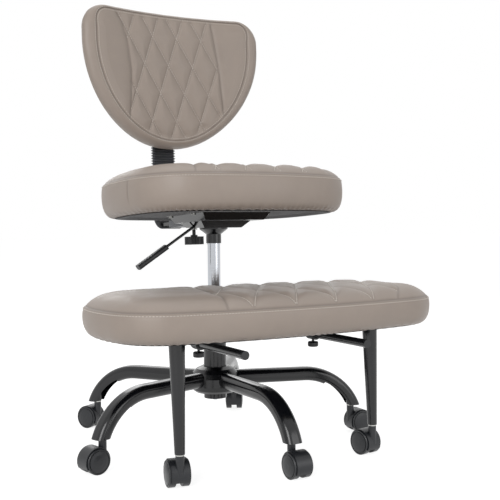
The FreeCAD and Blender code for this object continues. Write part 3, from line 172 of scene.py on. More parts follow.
class UpholsterySettings(bpy.types.PropertyGroup):
    leather: colour_setting("Leather", "Colour of the coated leather", "A4978D")
    thread: colour_setting("Thread", "Colour of the sewing thread", "DAD2C9")
    grain: length_setting("Grain", "Width of one pebble of the leather's grain", 1.1, 0.3)
    quilt_depth: length_setting(
        "Quilt depth", "How far the sewn lines sink below the crown", 5.0, 0.0
    )
    crown: length_setting("Crown", "Rise of the seat and knee cushions above their seam", 24.0, 0.0)
    # The thread is about twice as thick as real thread, so that it shows in a view of the chair
    stitch: length_setting("Stitch", "Length of one stitch", 4.2, 1.0)
    stitch_gap: length_setting("Stitch gap", "Leather between two stitches", 1.6, 0.3)
    thread_radius: length_setting("Thread radius", "Half the thickness of the thread", 0.7, 0.1)


class MetalSettings(bpy.types.PropertyGroup):
    enamel: colour_setting(
        "Black enamel", "Colour of the powder coat on base, column and legs", "0B0C10"
    )
    bracket: colour_setting(
        "Grey enamel", "Colour of the bracket that holds the backrest bar", "6A6D72"
    )
    chrome: colour_setting("Chrome", "Colour of the gas cylinder", "BFC2C7")
    steel: colour_setting("Zinc", "Colour of the plated screws and stems", "C4C4C0")


class PlasticSettings(bpy.types.PropertyGroup):
    nylon: colour_setting("Nylon", "Colour of the moulded knobs, caps and blocks", "17181B")
    castor: colour_setting("Castor", "Colour of the castor hoods and wheels", "1D1F23")
    sleeve: colour_setting("Sleeve", "Colour of the ribbed sleeves on the bar", "333539")
    ribs: IntProperty(
        name="Upper ribs", description="Ribs on the upright sleeve", default=27, min=4
    )
    rib_height: length_setting("Rib height", "How far a rib stands out of its sleeve", 4.2, 0.5)


class StageSettings(bpy.types.PropertyGroup):
    floor: colour_setting("Floor", "Colour of the floor", "F4F4F4")
    camera: FloatVectorProperty(
        name="Camera", description="Place of the camera", subtype="XYZ", unit="LENGTH", size=3,
        default=(-0.8463, -1.6465, 0.4715),
    )
    azimuth: angle_setting("Azimuth", "Direction of the camera round the chair", -29.67)
    pitch: angle_setting("Pitch", "How far the camera looks down", 1.59)
    roll: angle_setting("Roll", "Turn of the camera about its own axis", -0.55)
    lens: FloatProperty(
        name="Lens", description="Focal length in millimetres", default=60.48, min=10
    )


class ChairSettings(bpy.types.PropertyGroup):
    upholstery: PointerProperty(type=UpholsterySettings)
    metal: PointerProperty(type=MetalSettings)
    plastic: PointerProperty(type=PlasticSettings)
    stage: PointerProperty(type=StageSettings)


def chair_settings():
    return bpy.context.scene.kneeling_chair


# Meshes
def tilted(points):
    """Points leaned back with the seat about a line across it at the tilt's height."""
    c, s = math.cos(TILT_ANGLE), math.sin(TILT_ANGLE)
    x, y, z = points.T
    z = z - TILT_HEIGHT
    return np.column_stack((x, c * y + s * z, TILT_HEIGHT - s * y + c * z))


def make_piece(name, points, faces, body, material):
    """A smooth mesh object from points in millimetres and faces, outward and riding on a body."""
    if body in LEANING_BODIES:
        points = tilted(points)
    mesh = bpy.data.meshes.new(name)
    mesh.from_pydata((points * MM).tolist(), [], faces)
    build = bmesh.new()
    build.from_mesh(mesh)
    bmesh.ops.recalc_face_normals(build, faces=build.faces)
    build.to_mesh(mesh)
    build.free()
    mesh.polygons.foreach_set("use_smooth", np.ones(len(mesh.polygons), bool))
    mesh.materials.append(material)
    piece = bpy.data.objects.new(name, mesh)
    bpy.context.scene.collection.objects.link(piece)
    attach(piece, body)
    return piece


def grid_faces(rows, columns, close_rows=False, close_columns=False, first=0):
    """Quads between neighbouring points of a grid whose points run row by row from index first."""
    i = np.arange(rows if close_rows else rows - 1)
    j = np.arange(columns if close_columns else columns - 1)
    i, j = np.meshgrid(i, j, indexing="ij")
    down, right = (i + 1) % rows, (j + 1) % columns
    corners = (i * columns + j, i * columns + right, down * columns + right, down * columns + j)
    return (np.stack(corners, -1).reshape(-1, 4) + first).tolist()


def fan_faces(first, count, pole):
    """Triangles from a closed ring of points to one point."""
    ring = first + np.arange(count)
    return np.stack((ring, np.roll(ring, -1), np.full(count, pole)), -1).tolist()


def arc_points(centre, radius, start, end, count):
    """Points on an arc and the outward directions there: centre plus radius times (cos, sin)."""
    angle = np.linspace(start, end, count)
    out = np.stack((np.cos(angle), np.sin(angle)), -1)
    return np.asarray(centre) + radius * out, out


def bowed_outline(half_x, half_y, bow_x, bow_y, corner, centre_y):
    """A cushion's plan, with outward directions: four bowed sides and four tangent corner arcs.

    Each side is an arc about a point on its own axis, and each corner an arc inside both."""
    side = np.array((half_x - bow_x, 0.0))
    front = np.array((0.0, half_y - bow_y))
    near, far = bow_x - corner, bow_y - corner
    span = front - side
    distance = np.hypot(*span)
    along = (near**2 - far**2 + distance**2) / (2 * distance)
    across = math.sqrt(near**2 - along**2)
    unit = span / distance
    normal = np.array((-unit[1], unit[0]))
    middles = (side + unit * along + sign * across * normal for sign in (-1, 1))
    middle = max(middles, key=lambda place: place[0] + place[1])
    from_side = math.atan2(*(middle - side)[::-1])
    from_front = math.atan2(*(middle - front)[::-1])
    right = arc_points(side, bow_x, 0, from_side, 400)
    bend = arc_points(middle, corner, from_side, from_front, 600)
    top = arc_points(front, bow_y, from_front, math.pi / 2, 400)
    quarter, facing = (np.concatenate((a[:-1], b[:-1], c)) for a, b, c in zip(right, bend, top))
    points, outs = [], []
    for signs in ((1, 1), (-1, 1), (-1, -1), (1, -1)):
        order = slice(None, -1) if signs[0] * signs[1] > 0 else slice(None, 0, -1)
        points.append((quarter * signs)[order])
        outs.append((facing * signs)[order])
    return np.concatenate(points) + (0, centre_y), np.concatenate(outs)


def back_outline():
    """The D-shaped outline of the backrest seen from the front, with outward directions.

    A lower arc and two side arcs tangent to it, upright edges, corner arcs and a straight top."""
    half, low_radius, bend = BACK_HALF_WIDTH, BACK_LOWER_RADIUS, BACK_CORNER
    rise = BACK_WIDEST - BACK_BOTTOM - low_radius
    side_radius = (half**2 + rise**2 - low_radius**2) / (2 * (half - low_radius))
    low = np.array((0.0, BACK_BOTTOM + low_radius))
    side = np.array((half - side_radius, BACK_WIDEST))
    join = math.atan2(*(low - side)[::-1])
    corner = np.array((half - bend, BACK_TOP - bend))
    up = np.linspace(BACK_WIDEST, BACK_TOP - bend, 60)[:, None]
    along = np.linspace(half - bend, 0, 300)[:, None]
    pieces = (
        arc_points(low, low_radius, -math.pi / 2, join, 500),
        arc_points(side, side_radius, join, 0, 500),
        (np.hstack((np.full_like(up, half), up)), np.tile((1.0, 0.0), (len(up), 1))),
        arc_points(corner, bend, 0, math.pi / 2, 300),
        (np.hstack((along, np.full_like(along, BACK_TOP))), np.tile((0.0, 1.0), (len(along), 1))),
    )
    rings = []
    for k in (0, 1):
        right = np.concatenate([piece[k][:-1] for piece in pieces])
        rings.append(np.vstack((right, pieces[-1][k][-1:], right[:0:-1] * (-1.0, 1.0))))
    return rings


def spaced_ring(points, outs, corners, counts):
    """Points spread evenly along a closed outline between given corner places, with directions."""
    closed, facing = np.vstack((points, points[:1])), np.vstack((outs, outs[:1]))
    length = np.concatenate(([0], np.cumsum(np.hypot(*np.diff(closed, axis=0).T))))
    total = length[-1]
    marks = [length[np.argmin(np.hypot(*(points - corner).T))] for corner in corners]
    marks.append(marks[0] + total)
    for k in range(1, len(marks)):
        if marks[k] <= marks[k - 1]:
            marks[k] += total
    spans = zip(marks, marks[1:], counts)
    place = np.concatenate([np.linspace(a, b, n, endpoint=False) for a, b, n in spans]) % total
    ring, out = (
        np.stack([np.interp(place, length, line[:, k]) for k in (0, 1)], -1)
        for line in (closed, facing)
    )
    return ring, out / np.hypot(*out.T)[:, None]


def nearest_on(outline, x, y):
    """Distance from each place to the nearest point of an outline, and that point's index."""
    distance, index = np.empty(len(x)), np.empty(len(x), int)
    for start in range(0, len(x), 400):
        part = slice(start, start + 400)
        gap = np.hypot(x[part, None] - outline[None, :, 0], y[part, None] - outline[None, :, 1])
        index[part] = gap.argmin(1)
        distance[part] = gap.min(1)
    return distance, index


def patch_inside(ring, wide, deep):
    """Points inside a ring of 2 (wide + deep) points, blended from its four sides (a Coons patch).

    Each point is the mean of the two opposite sides, both ways, less the blend of the four corners.
    All inner points are then drawn towards the mean of their four neighbours, over and over."""
    near = ring[: wide + 1]
    right = ring[wide : wide + deep + 1]
    far = ring[wide + deep : 2 * wide + deep + 1][::-1]
    left = np.vstack((ring[2 * wide + deep :], ring[:1]))[::-1]
    s = np.linspace(0, 1, wide + 1)[None, :, None]
    t = np.linspace(0, 1, deep + 1)[:, None, None]
    patch = (1 - t) * near[None] + t * far[None] + (1 - s) * left[:, None] + s * right[:, None]
    patch -= (1 - t) * ((1 - s) * near[0] + s * near[-1]) + t * ((1 - s) * far[0] + s * far[-1])
    for _ in range(120):
        total = patch[:-2, 1:-1] + patch[2:, 1:-1] + patch[1:-1, :-2] + patch[1:-1, 2:]
        patch[1:-1, 1:-1] = total / 4
    return patch


def closed_pad(patch, rings, pole):
    """Points and faces of a closed pad: a patch, rings from its rim outward, and a far pole."""
    rows, columns = patch.shape[:2]
    wide, deep = columns - 1, rows - 1
    rim = np.concatenate((
        np.arange(wide),
        wide + np.arange(deep) * columns,
        deep * columns + wide - np.arange(wide),
        (deep - np.arange(deep)) * columns,
    ))
    points = np.vstack((patch.reshape(-1, 3), *rings, pole))
    count, first = len(rim), rows * columns
    outer = first + np.arange(count)
    faces = grid_faces(rows, columns)
    faces += np.stack((rim, outer, np.roll(outer, -1), np.roll(rim, -1)), -1).tolist()
    faces += grid_faces(len(rings), count, close_columns=True, first=first)
    faces += fan_faces(first + (len(rings) - 1) * count, count, len(points) - 1)
    return points, faces


def ripple(x, y, scale, seed):
    """A soft sum of eight sine waves with fixed random directions, between about -1 and 1."""
    rng = np.random.default_rng(seed)
    total = np.zeros_like(x)
    for _ in range(8):
        angle, phase = rng.uniform(0, 2 * math.pi, 2)
        wave = 2 * math.pi / (scale * rng.uniform(0.7, 1.6))
        total += np.sin(wave * (x * math.cos(angle) + y * math.sin(angle)) + phase)
    return total / 5


def bell(distance, width):
    """One on a line, falling off as a bell curve of the distance over the width."""
    return np.exp(-((distance / width) ** 2))


@dataclass
class Quilt:
    """Two families of sewn lines that cross to make diamonds, between two panel seams."""

    centre: tuple
    pitch: float
    slopes: tuple
    seams: tuple
    depth: float
    seam_softness: float = 9.0

    def line_distance(self, x, y):
        """Distance to the nearest line of either family."""
        gaps = []
        for slope in self.slopes:
            count = (x - self.centre[0] - slope * (y - self.centre[1])) / self.pitch
            gaps.append(np.abs(count - np.round(count)) * self.pitch / math.hypot(1, slope))
        return np.minimum(*gaps)

    def seam_distance(self, x, y):
        """Signed distance inside the quilted panel: positive between its two seams."""
        left, right = (np.interp(y, [p[1] for p in s], [p[0] for p in s]) for s in self.seams)
        return np.minimum(x - left, right - x)

    def dip(self, x, y):
        """How far the surface sinks: full at a line or seam, none at the middle of a diamond.

        A diamond rises from its lines as 1 - (1 - share) ^ 1.9 of its half width, with a small
        pinch right on the line. Towards a panel seam it falls off as an exponential."""
        line, inside = self.line_distance(x, y), self.seam_distance(x, y)
        reach = self.pitch * abs(self.slopes[0] - self.slopes[1]) / 4 + 8
        mound = 1 - (1 - np.clip(line / reach, 0, 1)) ** 1.9 - 0.16 * bell(line, 2.2)
        plain = 1 - np.exp(-np.abs(inside) / self.seam_softness)
        crease = np.where(inside > 0, np.minimum(mound, plain * 1.15), plain)
        return self.depth * (1 - np.clip(crease, -0.25, 1))

    def painted_shade(self, x, y, widths, seam_share):
        """How much shade is painted into the creases: less on the diamonds' lines than on the panel
        seams.
        """
        gap = self.seam_distance(x, y)
        lines = 0.45 * bell(np.where(gap > 0, self.line_distance(x, y), 1e3), widths[0])
        return np.maximum(lines, seam_share * bell(gap, widths[1]))

    def sewn_lines(self, y):
        """Places along every line of both families at the given heights in the plan."""
        for slope in self.slopes:
            for step in range(-9, 10):
                yield self.centre[0] + step * self.pitch + slope * (y - self.centre[1])


class Cushion:
    """A boxed cushion: drawn-in lower edge, full sides, a seam and a crowned, sewn top."""

    def __init__(self, plan, bottom, boxing, quilt, joins, counts, seed):
        self.plan, self.bottom, self.boxing = plan, bottom, boxing
        self.seam = bottom + boxing
        self.crown = chair_settings().upholstery.crown / MM
        self.quilt, self.joins = quilt, joins
        self.wide, self.deep = counts
        self.seed = seed
        outline, outs = bowed_outline(*plan)
        self.outline = outline[::4]
        half_x, half_y, centre_y = plan[0], plan[1], plan[5]
        # The patch's corners are the outline's points nearest to these places, inside its bends
        signs = ((-1, -1), (1, -1), (1, 1), (-1, 1))
        corners = [(sx * half_x * 0.9, centre_y + sy * half_y * 0.82) for sx, sy in signs]
        self.ring, self.out = spaced_ring(outline, outs, corners, counts * 2)

    def inset(self, distance):
        return self.ring - self.out * distance

    def inset_of(self, x, y):
        return nearest_on(self.outline, x, y)[0]

    def top_height(self, x, y, inset):
        """Height of the top: a crown that rises fast from the seam, less the quilting.

        The crown is its height times 1 - (1 - share) ^ 3.6, where the share of its reach is 0 at
        the seam. The quilting fades in with the distance, and the seam itself is a narrow dip."""
        from_seam = inset - SEAM_INSET
        crown = self.crown * (1 - (1 - np.clip(from_seam / CROWN_REACH, 0, 1)) ** 3.6)
        fade = np.clip(from_seam / QUILT_FADE, 0, 1) ** 0.7
        soft = 0.5 * ripple(x, y, 90.0, self.seed) - self.quilt.dip(x, y)
        return self.seam + crown + fade * soft - 1.1 * bell(from_seam, 2.0)

    def join_share(self, x, y):
        """How near places lie to the upright joins of the side band, from 0 to 1."""
        return bell(np.minimum(*(np.hypot(x - a, y - b) for a, b in self.joins)), 2.6)

    def build(self):
        """Rings drawn in from the outline: the crown, the seam, the boxing, the turned-in edge."""
        rings = []
        for distance in SEAM_INSET + CROWN_REACH * np.linspace(1, 0, 34)[1:] ** 1.25:
            x, y = self.inset(distance).T
            rings.append(np.column_stack((x, y, self.top_height(x, y, distance))))
        around = np.linspace(0, 2 * math.pi, len(self.ring), endpoint=False)
        # Gathers of the turned-in edge: the size of a sine, 47 times round, crowded in five places
        puckers = 1.5 * np.abs(np.sin(around * 47 + 3 * np.sin(around * 5)))
        for distance, level in BOXING_PROFILE:
            x, y = self.inset(distance).T
            # The band swells a little unevenly, and is drawn in at its upright joins
            swell = 0.7 * ripple(x, y + 40 * level, 70.0, self.seed + 1) * (0.05 < level < 0.85)
            tuck = 1.2 * self.join_share(x, y) * (level > 0.04)
            places = self.inset(distance) + self.out * (swell - tuck)[:, None]
            height = self.bottom + level * self.boxing + puckers * (level < 0.1)
            rings.append(np.column_stack((places, height)))
        level_inset = SEAM_INSET + CROWN_REACH
        patch = patch_inside(self.inset(level_inset), self.wide, self.deep)
        x, y = patch[..., 0], patch[..., 1]
        depth = self.inset_of(x.ravel(), y.ravel()).reshape(x.shape)
        top = np.dstack((x, y, self.top_height(x, y, np.maximum(depth, level_inset))))
        return closed_pad(top, rings, (0.0, self.plan[5], self.bottom + 0.2 * self.boxing))

    def painted_shade(self, points):
        """How much shade is painted at each point, in the creases of seam, upright joins and sewn
        lines, from 0 to 1.
        """
        x, y, z = points.T
        rim = bell(self.inset_of(x, y) - SEAM_INSET, 2.0) * (np.abs(z - self.seam) < 6)
        side = 0.8 * self.join_share(x, y) * (z < self.seam)
        top = self.quilt.painted_shade(x, y, (2.4, 2.2), 0.9) * (z > self.seam)
        return np.maximum(np.maximum(rim, side), top)

    def thread_paths(self):
        """Paths of thread, and which way is up: under the perimeter seam, and on the diamonds."""
        ring = self.inset(-0.3)
        row = np.column_stack((ring, np.full(len(ring), self.bottom + THREAD_LEVEL * self.boxing)))

        def side_up(at):
            flat = self.out[nearest_on(self.ring, at[:, 0], at[:, 1])[1]]
            up = np.column_stack((flat, np.full(len(flat), 0.25)))
            return up / np.linalg.norm(up, axis=1)[:, None]

        paths, ups = [np.vstack((row, row[:1]))], [side_up]
        half_x, half_y, centre_y = self.plan[0], self.plan[1], self.plan[5]
        run = np.linspace(-half_y, half_y, 240)
        y = centre_y + run
        for x in self.quilt.sewn_lines(y):
            inset = self.inset_of(x, y)
            inside = (np.hypot(x / half_x, run / half_y) < 1.2) & (inset > 9)
            inside &= (self.quilt.seam_distance(x, y) > 2) & (np.abs(run) < half_y - 6)
            for part in runs(inside):
                z = self.top_height(x[part], y[part], inset[part]) + 0.6
                paths.append(np.column_stack((x[part], y[part], z)))
                ups.append((0.0, 0.0, 1.0))
        return paths, ups


# Thread
def runs(inside):
    """Stretches of more than six neighbouring places that are inside."""
    cuts = np.flatnonzero(np.diff(inside.astype(int))) + 1
    parts = np.split(np.arange(len(inside)), cuts)
    return [part for part in parts if inside[part[0]] and len(part) > 6]


def places_along(path, spacing):
    """Places every spacing along a path, with the direction there."""
    step = np.linalg.norm(np.diff(path, axis=0), axis=1)
    length = np.concatenate(([0], np.cumsum(step)))
    place = (np.arange(int(length[-1] / spacing)) + 0.5) * spacing
    behind, at, ahead = (
        np.stack([np.interp(place + shift * spacing, length, path[:, k]) for k in range(3)], -1)
        for shift in (-0.4, 0.0, 0.4)
    )
    way = ahead - behind
    return at, way / np.linalg.norm(way, axis=1)[:, None]


def stitches(paths, ups, length, gap, radius):
    """Rounded thread stitches laid along paths: a tapered six-sided bead with both ends pressed in.

    Each bead is five rings of six points, of full radius in the middle and small at the ends."""
    stations = length * np.array((-0.5, -0.3, 0.0, 0.3, 0.5))
    girth = radius * np.array((0.45, 0.9, 1.0, 0.9, 0.45))
    sink = radius * np.array((-1.0, -0.1, 0.35, -0.1, -1.0))
    angle = np.linspace(0, 2 * math.pi, 6, endpoint=False)
    bead_faces = np.array(grid_faces(5, 6, close_columns=True))
    end_caps = np.array((np.arange(6)[::-1], 24 + np.arange(6)))
    points, faces, total = [], [], 0
    for path, up in zip(paths, ups):
        at, way = places_along(path, length + gap)
        if len(at) < 2:
            continue
        side = np.cross(way, up(at) if callable(up) else up)
        side /= np.linalg.norm(side, axis=1)[:, None]
        lift = np.cross(side, way)
        core = at[:, None] + way[:, None] * stations[:, None] + lift[:, None] * sink[:, None]
        turn = side[:, None] * np.cos(angle)[:, None] + lift[:, None] * np.sin(angle)[:, None]
        beads = core[:, :, None] + turn[:, None] * girth[:, None, None]
        points.append(beads.reshape(-1, 3))
        starts = total + 30 * np.arange(len(at))[:, None, None]
        faces += (bead_faces + starts).reshape(-1, 4).tolist()
        faces += (end_caps + starts).reshape(-1, 6).tolist()
        total += 30 * len(at)
    return np.concatenate(points), faces


# Materials
NOISE = "ShaderNodeTexNoise"
MATHS = "ShaderNodeMath"
# Noise hardly leaves this range, so these are the ends of every tint and gloss
FIELD_ENDS = (0.3, 0.7)


def add_node(tree, kind, settings=None, links=None):
    """A shader node: a setting names a property or an input, and a link names an input."""
    node = tree.nodes.new(kind)
    for key, value in (settings or {}).items():
        if isinstance(key, str) and hasattr(node, key):
            setattr(node, key, value)
        else:
            node.inputs[key].default_value = value
    for key, source in (links or {}).items():
        tree.links.new(source, node.inputs[key])
    return node


def new_material(name, colour, roughness, metallic=0.0, ior=1.5, sheen=0.0):
    """A material with its shader alone, and the object coordinates that patterns read."""
    material = bpy.data.materials.new(name)
    material.use_nodes = True
    tree = material.node_tree
    tree.nodes.clear()
    shader = add_node(tree, "ShaderNodeBsdfPrincipled", {
        "Base Color": (*colour, 1), "Roughness": roughness, "Metallic": metallic, "IOR": ior,
        "Sheen Weight": sheen,
    })
    add_node(tree, "ShaderNodeOutputMaterial", links={"Surface": shader.outputs[0]})
    coords = add_node(tree, "ShaderNodeTexCoord")
    return tree, shader, {"Vector": coords.outputs["Object"]}


def shade(colour, factor):
    return tuple(min(1.0, c * factor) for c in colour)


def give_look(tree, shader, relief, colour=None, tint=None, gloss=None):
    """Relief from a field, and a colour and roughness that move between two ends with a field.

    Relief is a field, a depth in millimetres and a strength. Tint is a field and two shades of the
    colour, and gloss a field and two roughnesses. The output that holds the tint is given back."""
    sizes = {"Distance": relief[1] * MM, "Strength": relief[2]}
    bump = add_node(tree, "ShaderNodeBump", sizes, {"Height": relief[0]})
    tree.links.new(bump.outputs["Normal"], shader.inputs["Normal"])
    if gloss:
        ends = {"From Min": FIELD_ENDS[0], "From Max": FIELD_ENDS[1], "To Min": gloss[1]}
        span = add_node(
            tree, "ShaderNodeMapRange", {**ends, "To Max": gloss[2]}, {"Value": gloss[0]}
        )
        tree.links.new(span.outputs["Result"], shader.inputs["Roughness"])
    if not tint:
        return None
    ramp = add_node(tree, "ShaderNodeValToRGB", links={"Fac": tint[0]})
    for element, position, factor in zip(ramp.color_ramp.elements, FIELD_ENDS, tint[1:]):
        element.position = position
        element.color = (*shade(colour, factor), 1)
    tree.links.new(ramp.outputs["Color"], shader.inputs["Base Color"])
    return ramp.outputs["Color"]


def coated_leather():
    """Polyurethane-coated leather, embossed with a pebble grain: satin, with painted shade
    darkening its seams and sewn lines.
    """
    settings = chair_settings().upholstery
    colour = settings.leather
    tree, shader, place = new_material("coated_leather", colour, 0.46, ior=1.48, sheen=0.06)
    pebble = {"feature": "SMOOTH_F1", "Scale": 1 / settings.grain, "Smoothness": 0.6}
    pebble = add_node(tree, "ShaderNodeTexVoronoi", pebble, place)
    fine = add_node(tree, NOISE, {"Scale": 1 / (3 * settings.grain), "Detail": 4.0}, place)
    height = {0: pebble.outputs["Distance"], 1: fine.outputs["Fac"]}
    height = add_node(tree, MATHS, {"operation": "ADD"}, height)
    crease = add_node(tree, NOISE, {"Scale": 26.0, "Detail": 3.0, "Distortion": 0.6}, place)
    mottle = add_node(tree, NOISE, {"Scale": 7.0, "Detail": 5.0}, place)
    half = add_node(tree, MATHS, {"operation": "MULTIPLY", 1: 0.5}, {0: crease.outputs["Fac"]})
    mixed = {0: mottle.outputs["Fac"], 2: half.outputs[0]}
    mixed = add_node(tree, MATHS, {"operation": "MULTIPLY_ADD", 1: 0.5}, mixed)
    plain = give_look(
        tree, shader, (height.outputs[0], 0.10, 0.55), colour, (mixed.outputs[0], 0.94, 1.05),
        (crease.outputs["Fac"], 0.40, 0.54),
    )
    # Painted shade: the attribute sewn darkens the leather in the creases of the seams, joins and
    # sewn lines
    sewn = add_node(tree, "ShaderNodeAttribute", {"attribute_name": "sewn"})
    share = add_node(tree, MATHS, {"operation": "MULTIPLY", 1: 0.8}, {0: sewn.outputs["Fac"]})
    dark = add_node(
        tree, "ShaderNodeMix", {"data_type": "RGBA", 7: (*shade(colour, 0.55), 1)},
        {0: share.outputs[0], 6: plain},
    )
    tree.links.new(dark.outputs[2], shader.inputs["Base Color"])


def sewing_thread():
    """Twisted polyester thread: matt with a slight sheen, and low ridges from its twist.

    The twist is drawn 2 mm long, coarser than real, so that it shows."""
    colour = chair_settings().upholstery.thread
    tree, shader, place = new_material("sewing_thread", colour, 0.6, sheen=0.2)
    twist = {"Scale": 1 / (2 * MM), "Distortion": 1.0}
    twist = add_node(tree, "ShaderNodeTexWave", twist, place)
    give_look(tree, shader, (twist.outputs["Fac"], 0.08, 0.6))


def hard_chrome():
    """Ground and hard-chromed steel: mirror-like, with faint rings from grinding.

    The rings are drawn 1.2 mm apart, coarser than real, so that they show."""
    tree, shader, place = new_material("hard_chrome", chair_settings().metal.chrome, 0.1, 1.0)
    stretch = add_node(tree, "ShaderNodeMapping", {"Scale": (30, 30, 1 / (1.2 * MM))}, place)
    rings = add_node(tree, NOISE, {"Scale": 1.0, "Detail": 3.0}, {"Vector": stretch.outputs[0]})
    field = rings.outputs["Fac"]
    give_look(tree, shader, (field, 0.01, 0.3), gloss=(field, 0.06, 0.16))


def spunbond_cloth():
    """Spun-bonded polypropylene cloth, point-bonded every 2.2 mm: matt dark grey with loose fibres.

    The fibres are drawn about 1 mm wide, coarser than real, so that they show."""
    colour = srgb_hex("38373A")
    tree, shader, place = new_material("spunbond_cloth", colour, 0.9, ior=1.49, sheen=0.25)
    bonds = {"feature": "F1", "Scale": 1 / (2.2 * MM)}
    bonds = add_node(tree, "ShaderNodeTexVoronoi", bonds, place)
    fibres = add_node(tree, NOISE, {"Scale": 900.0, "Detail": 4.0, "Distortion": 1.0}, place)
    height = {0: bonds.outputs["Distance"], 1: fibres.outputs["Fac"]}
    height = add_node(tree, MATHS, {"operation": "ADD"}, height)
    tint = (fibres.outputs["Fac"], 0.75, 1.3)
    give_look(tree, shader, (height.outputs[0], 0.15, 0.7), colour, tint)


def poplar_plywood():
    """Rotary-cut poplar plywood: pale wood with a long soft grain along X."""
    colour = srgb_hex("B58B5C")
    tree, shader, place = new_material("poplar_plywood", colour, 0.7)
    stretch = add_node(tree, "ShaderNodeMapping", {"Scale": (6, 90, 90)}, place)
    grain = {"Scale": 1.0, "Detail": 6.0, "Distortion": 1.2}
    grain = add_node(tree, NOISE, grain, {"Vector": stretch.outputs[0]})
    field = grain.outputs["Fac"]
    give_look(tree, shader, (field, 0.1, 0.3), colour, (field, 0.7, 1.15))


# Each finish below has a fine relief on a broad unevenness of colour and gloss. "fine" is grain
# size in millimetres, detail, depth and strength, with no size where the broad field is used;
# "broad" is cells per metre and detail; "tint" and "gloss" are the ends of colour and roughness.
POWDER = dict(ior=1.52, fine=(1.6, 2.0, 0.05, 0.35), broad=(14.0, 4.0), tint=(0.86, 1.22))
MOULDED = dict(broad=(22.0, 3.0), tint=(0.88, 1.15))
MOTTLED = {
    # Baked powder coat over steel: glossy black with a fine orange peel
    "black_powder_coat": dict(
        POWDER, colour=("metal", "enamel"), roughness=0.18, gloss=(0.13, 0.26)
    ),
    # Baked powder coat in grey: satin, so that the bracket shows soft grey highlights
    "grey_powder_coat": dict(
        POWDER, colour=("metal", "bracket"), roughness=0.42, gloss=(0.37, 0.50)
    ),
    # Bright zinc-plated steel: cool grey metal with soft blotches
    "zinc_plate": dict(
        colour=("metal", "steel"), roughness=0.3, metallic=1.0, fine=(None, None, 0.02, 0.3),
        broad=(160.0, 3.0), tint=(0.8, 1.0), gloss=(0.22, 0.4),
    ),
    # Injection-moulded nylon: dark satin with a fine spark-eroded texture
    "moulded_nylon": dict(
        MOULDED, colour=("plastic", "nylon"), roughness=0.42, fine=(0.7, 3.0, 0.04, 0.5),
        gloss=(0.36, 0.50),
    ),
    # Injection-moulded nylon of the castors: a coarser texture, polished a little by the floor
    "castor_nylon": dict(
        MOULDED, colour=("plastic", "castor"), roughness=0.36, fine=(0.9, 3.0, 0.04, 0.5),
        gloss=(0.30, 0.44),
    ),
    # Blow-moulded soft PVC: dark and slightly waxy, with a dusty bloom in patches
    "soft_pvc": dict(
        colour=("plastic", "sleeve"), roughness=0.42, ior=1.53, fine=(None, None, 0.05, 0.3),
        broad=(45.0, 4.0), tint=(0.8, 1.5), gloss=(0.34, 0.52),
    ),
}


def mottled(name, colour, roughness, fine, broad, tint, gloss, metallic=0.0, ior=1.5):
    """A finish from the table above, on the colour that the settings give."""
    group, field = colour
    colour = getattr(getattr(chair_settings(), group), field)
    tree, shader, place = new_material(name, colour, roughness, metallic, ior)
    patches = add_node(tree, NOISE, {"Scale": broad[0], "Detail": broad[1]}, place)
    size, detail, depth, strength = fine
    relief = patches
    if size:
        relief = add_node(tree, NOISE, {"Scale": 1 / (size * MM), "Detail": detail}, place)
    field = patches.outputs["Fac"]
    relief = (relief.outputs["Fac"], depth, strength)
    give_look(tree, shader, relief, colour, (field, *tint), (field, *gloss))


MAKERS = {
    "coated_leather": coated_leather, "sewing_thread": sewing_thread, "hard_chrome": hard_chrome,
    "spunbond_cloth": spunbond_cloth, "poplar_plywood": poplar_plywood,
}


def material_for(name):
    """The finish of that name, made once."""
    if name not in bpy.data.materials:
        if name in MAKERS:
            MAKERS[name]()
        else:
            mottled(name, **MOTTLED[name])
    return bpy.data.materials[name]


# Upholstery
def leather_piece(name, points, faces, painted_shade, node, body):
    """A padded leather piece in place of a solid, with the shade painted into its creases as an
    attribute.
    """
    piece = make_piece(name, points, faces, body, material_for("coated_leather"))
    # The attribute holds the painted shade of the seams and sewn lines
    attribute = piece.data.attributes.new("sewn", "FLOAT", "POINT")
    attribute.data.foreach_set("value", painted_shade.astype(np.float32))
    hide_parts(node)


def thread_piece(name, paths, ups, body):
    """All the stitches on one piece of leather."""
    s = chair_settings().upholstery
    points, faces = stitches(paths, ups, s.stitch / MM, s.stitch_gap / MM, s.thread_radius / MM)
    make_piece(name, points, faces, body, material_for("sewing_thread"))


def dress_cushion(cushion, name, node, body):
    """The cushion and its threads, riding on their body."""
    points, faces = cushion.build()
    # The cushion's creases get painted shade through the leather's attribute
    leather_piece(name, points, faces, cushion.painted_shade(points), node, body)
    thread_piece(name + "_threads", *cushion.thread_paths(), body)


def back_base(x, radius, rear_y):
    """The curve of an upright cylinder whose rearmost line lies at rear_y."""
    return rear_y - radius + np.sqrt(radius * radius - x * x)


def back_quilt():
    seams = (
        ((-113, 650), (-115, 733), (-109, 784), (-107, 850), (-116, 916), (-130, 959), (-152, 990)),
        ((134, 650), (132, 746), (129, 785), (122, 859), (111, 933), (101, 990)),
    )
    depth = chair_settings().upholstery.quilt_depth / MM * BACK_QUILT_SHARE
    return Quilt((14.5, 935.0), 63.0, (-0.598, 0.345), seams, depth, 7.0)


def seam_inset(out):
    """Distance of the face's seam from the outline: wide at the sides, and little on top.

    The inset at the sides and that at the ends are weighed by the squares of the direction."""
    ends = np.where(out[:, 1] > 0, BACK_SEAM_TOP, BACK_SEAM_BOTTOM)
    return BACK_SEAM * out[:, 0] ** 2 + ends * out[:, 1] ** 2


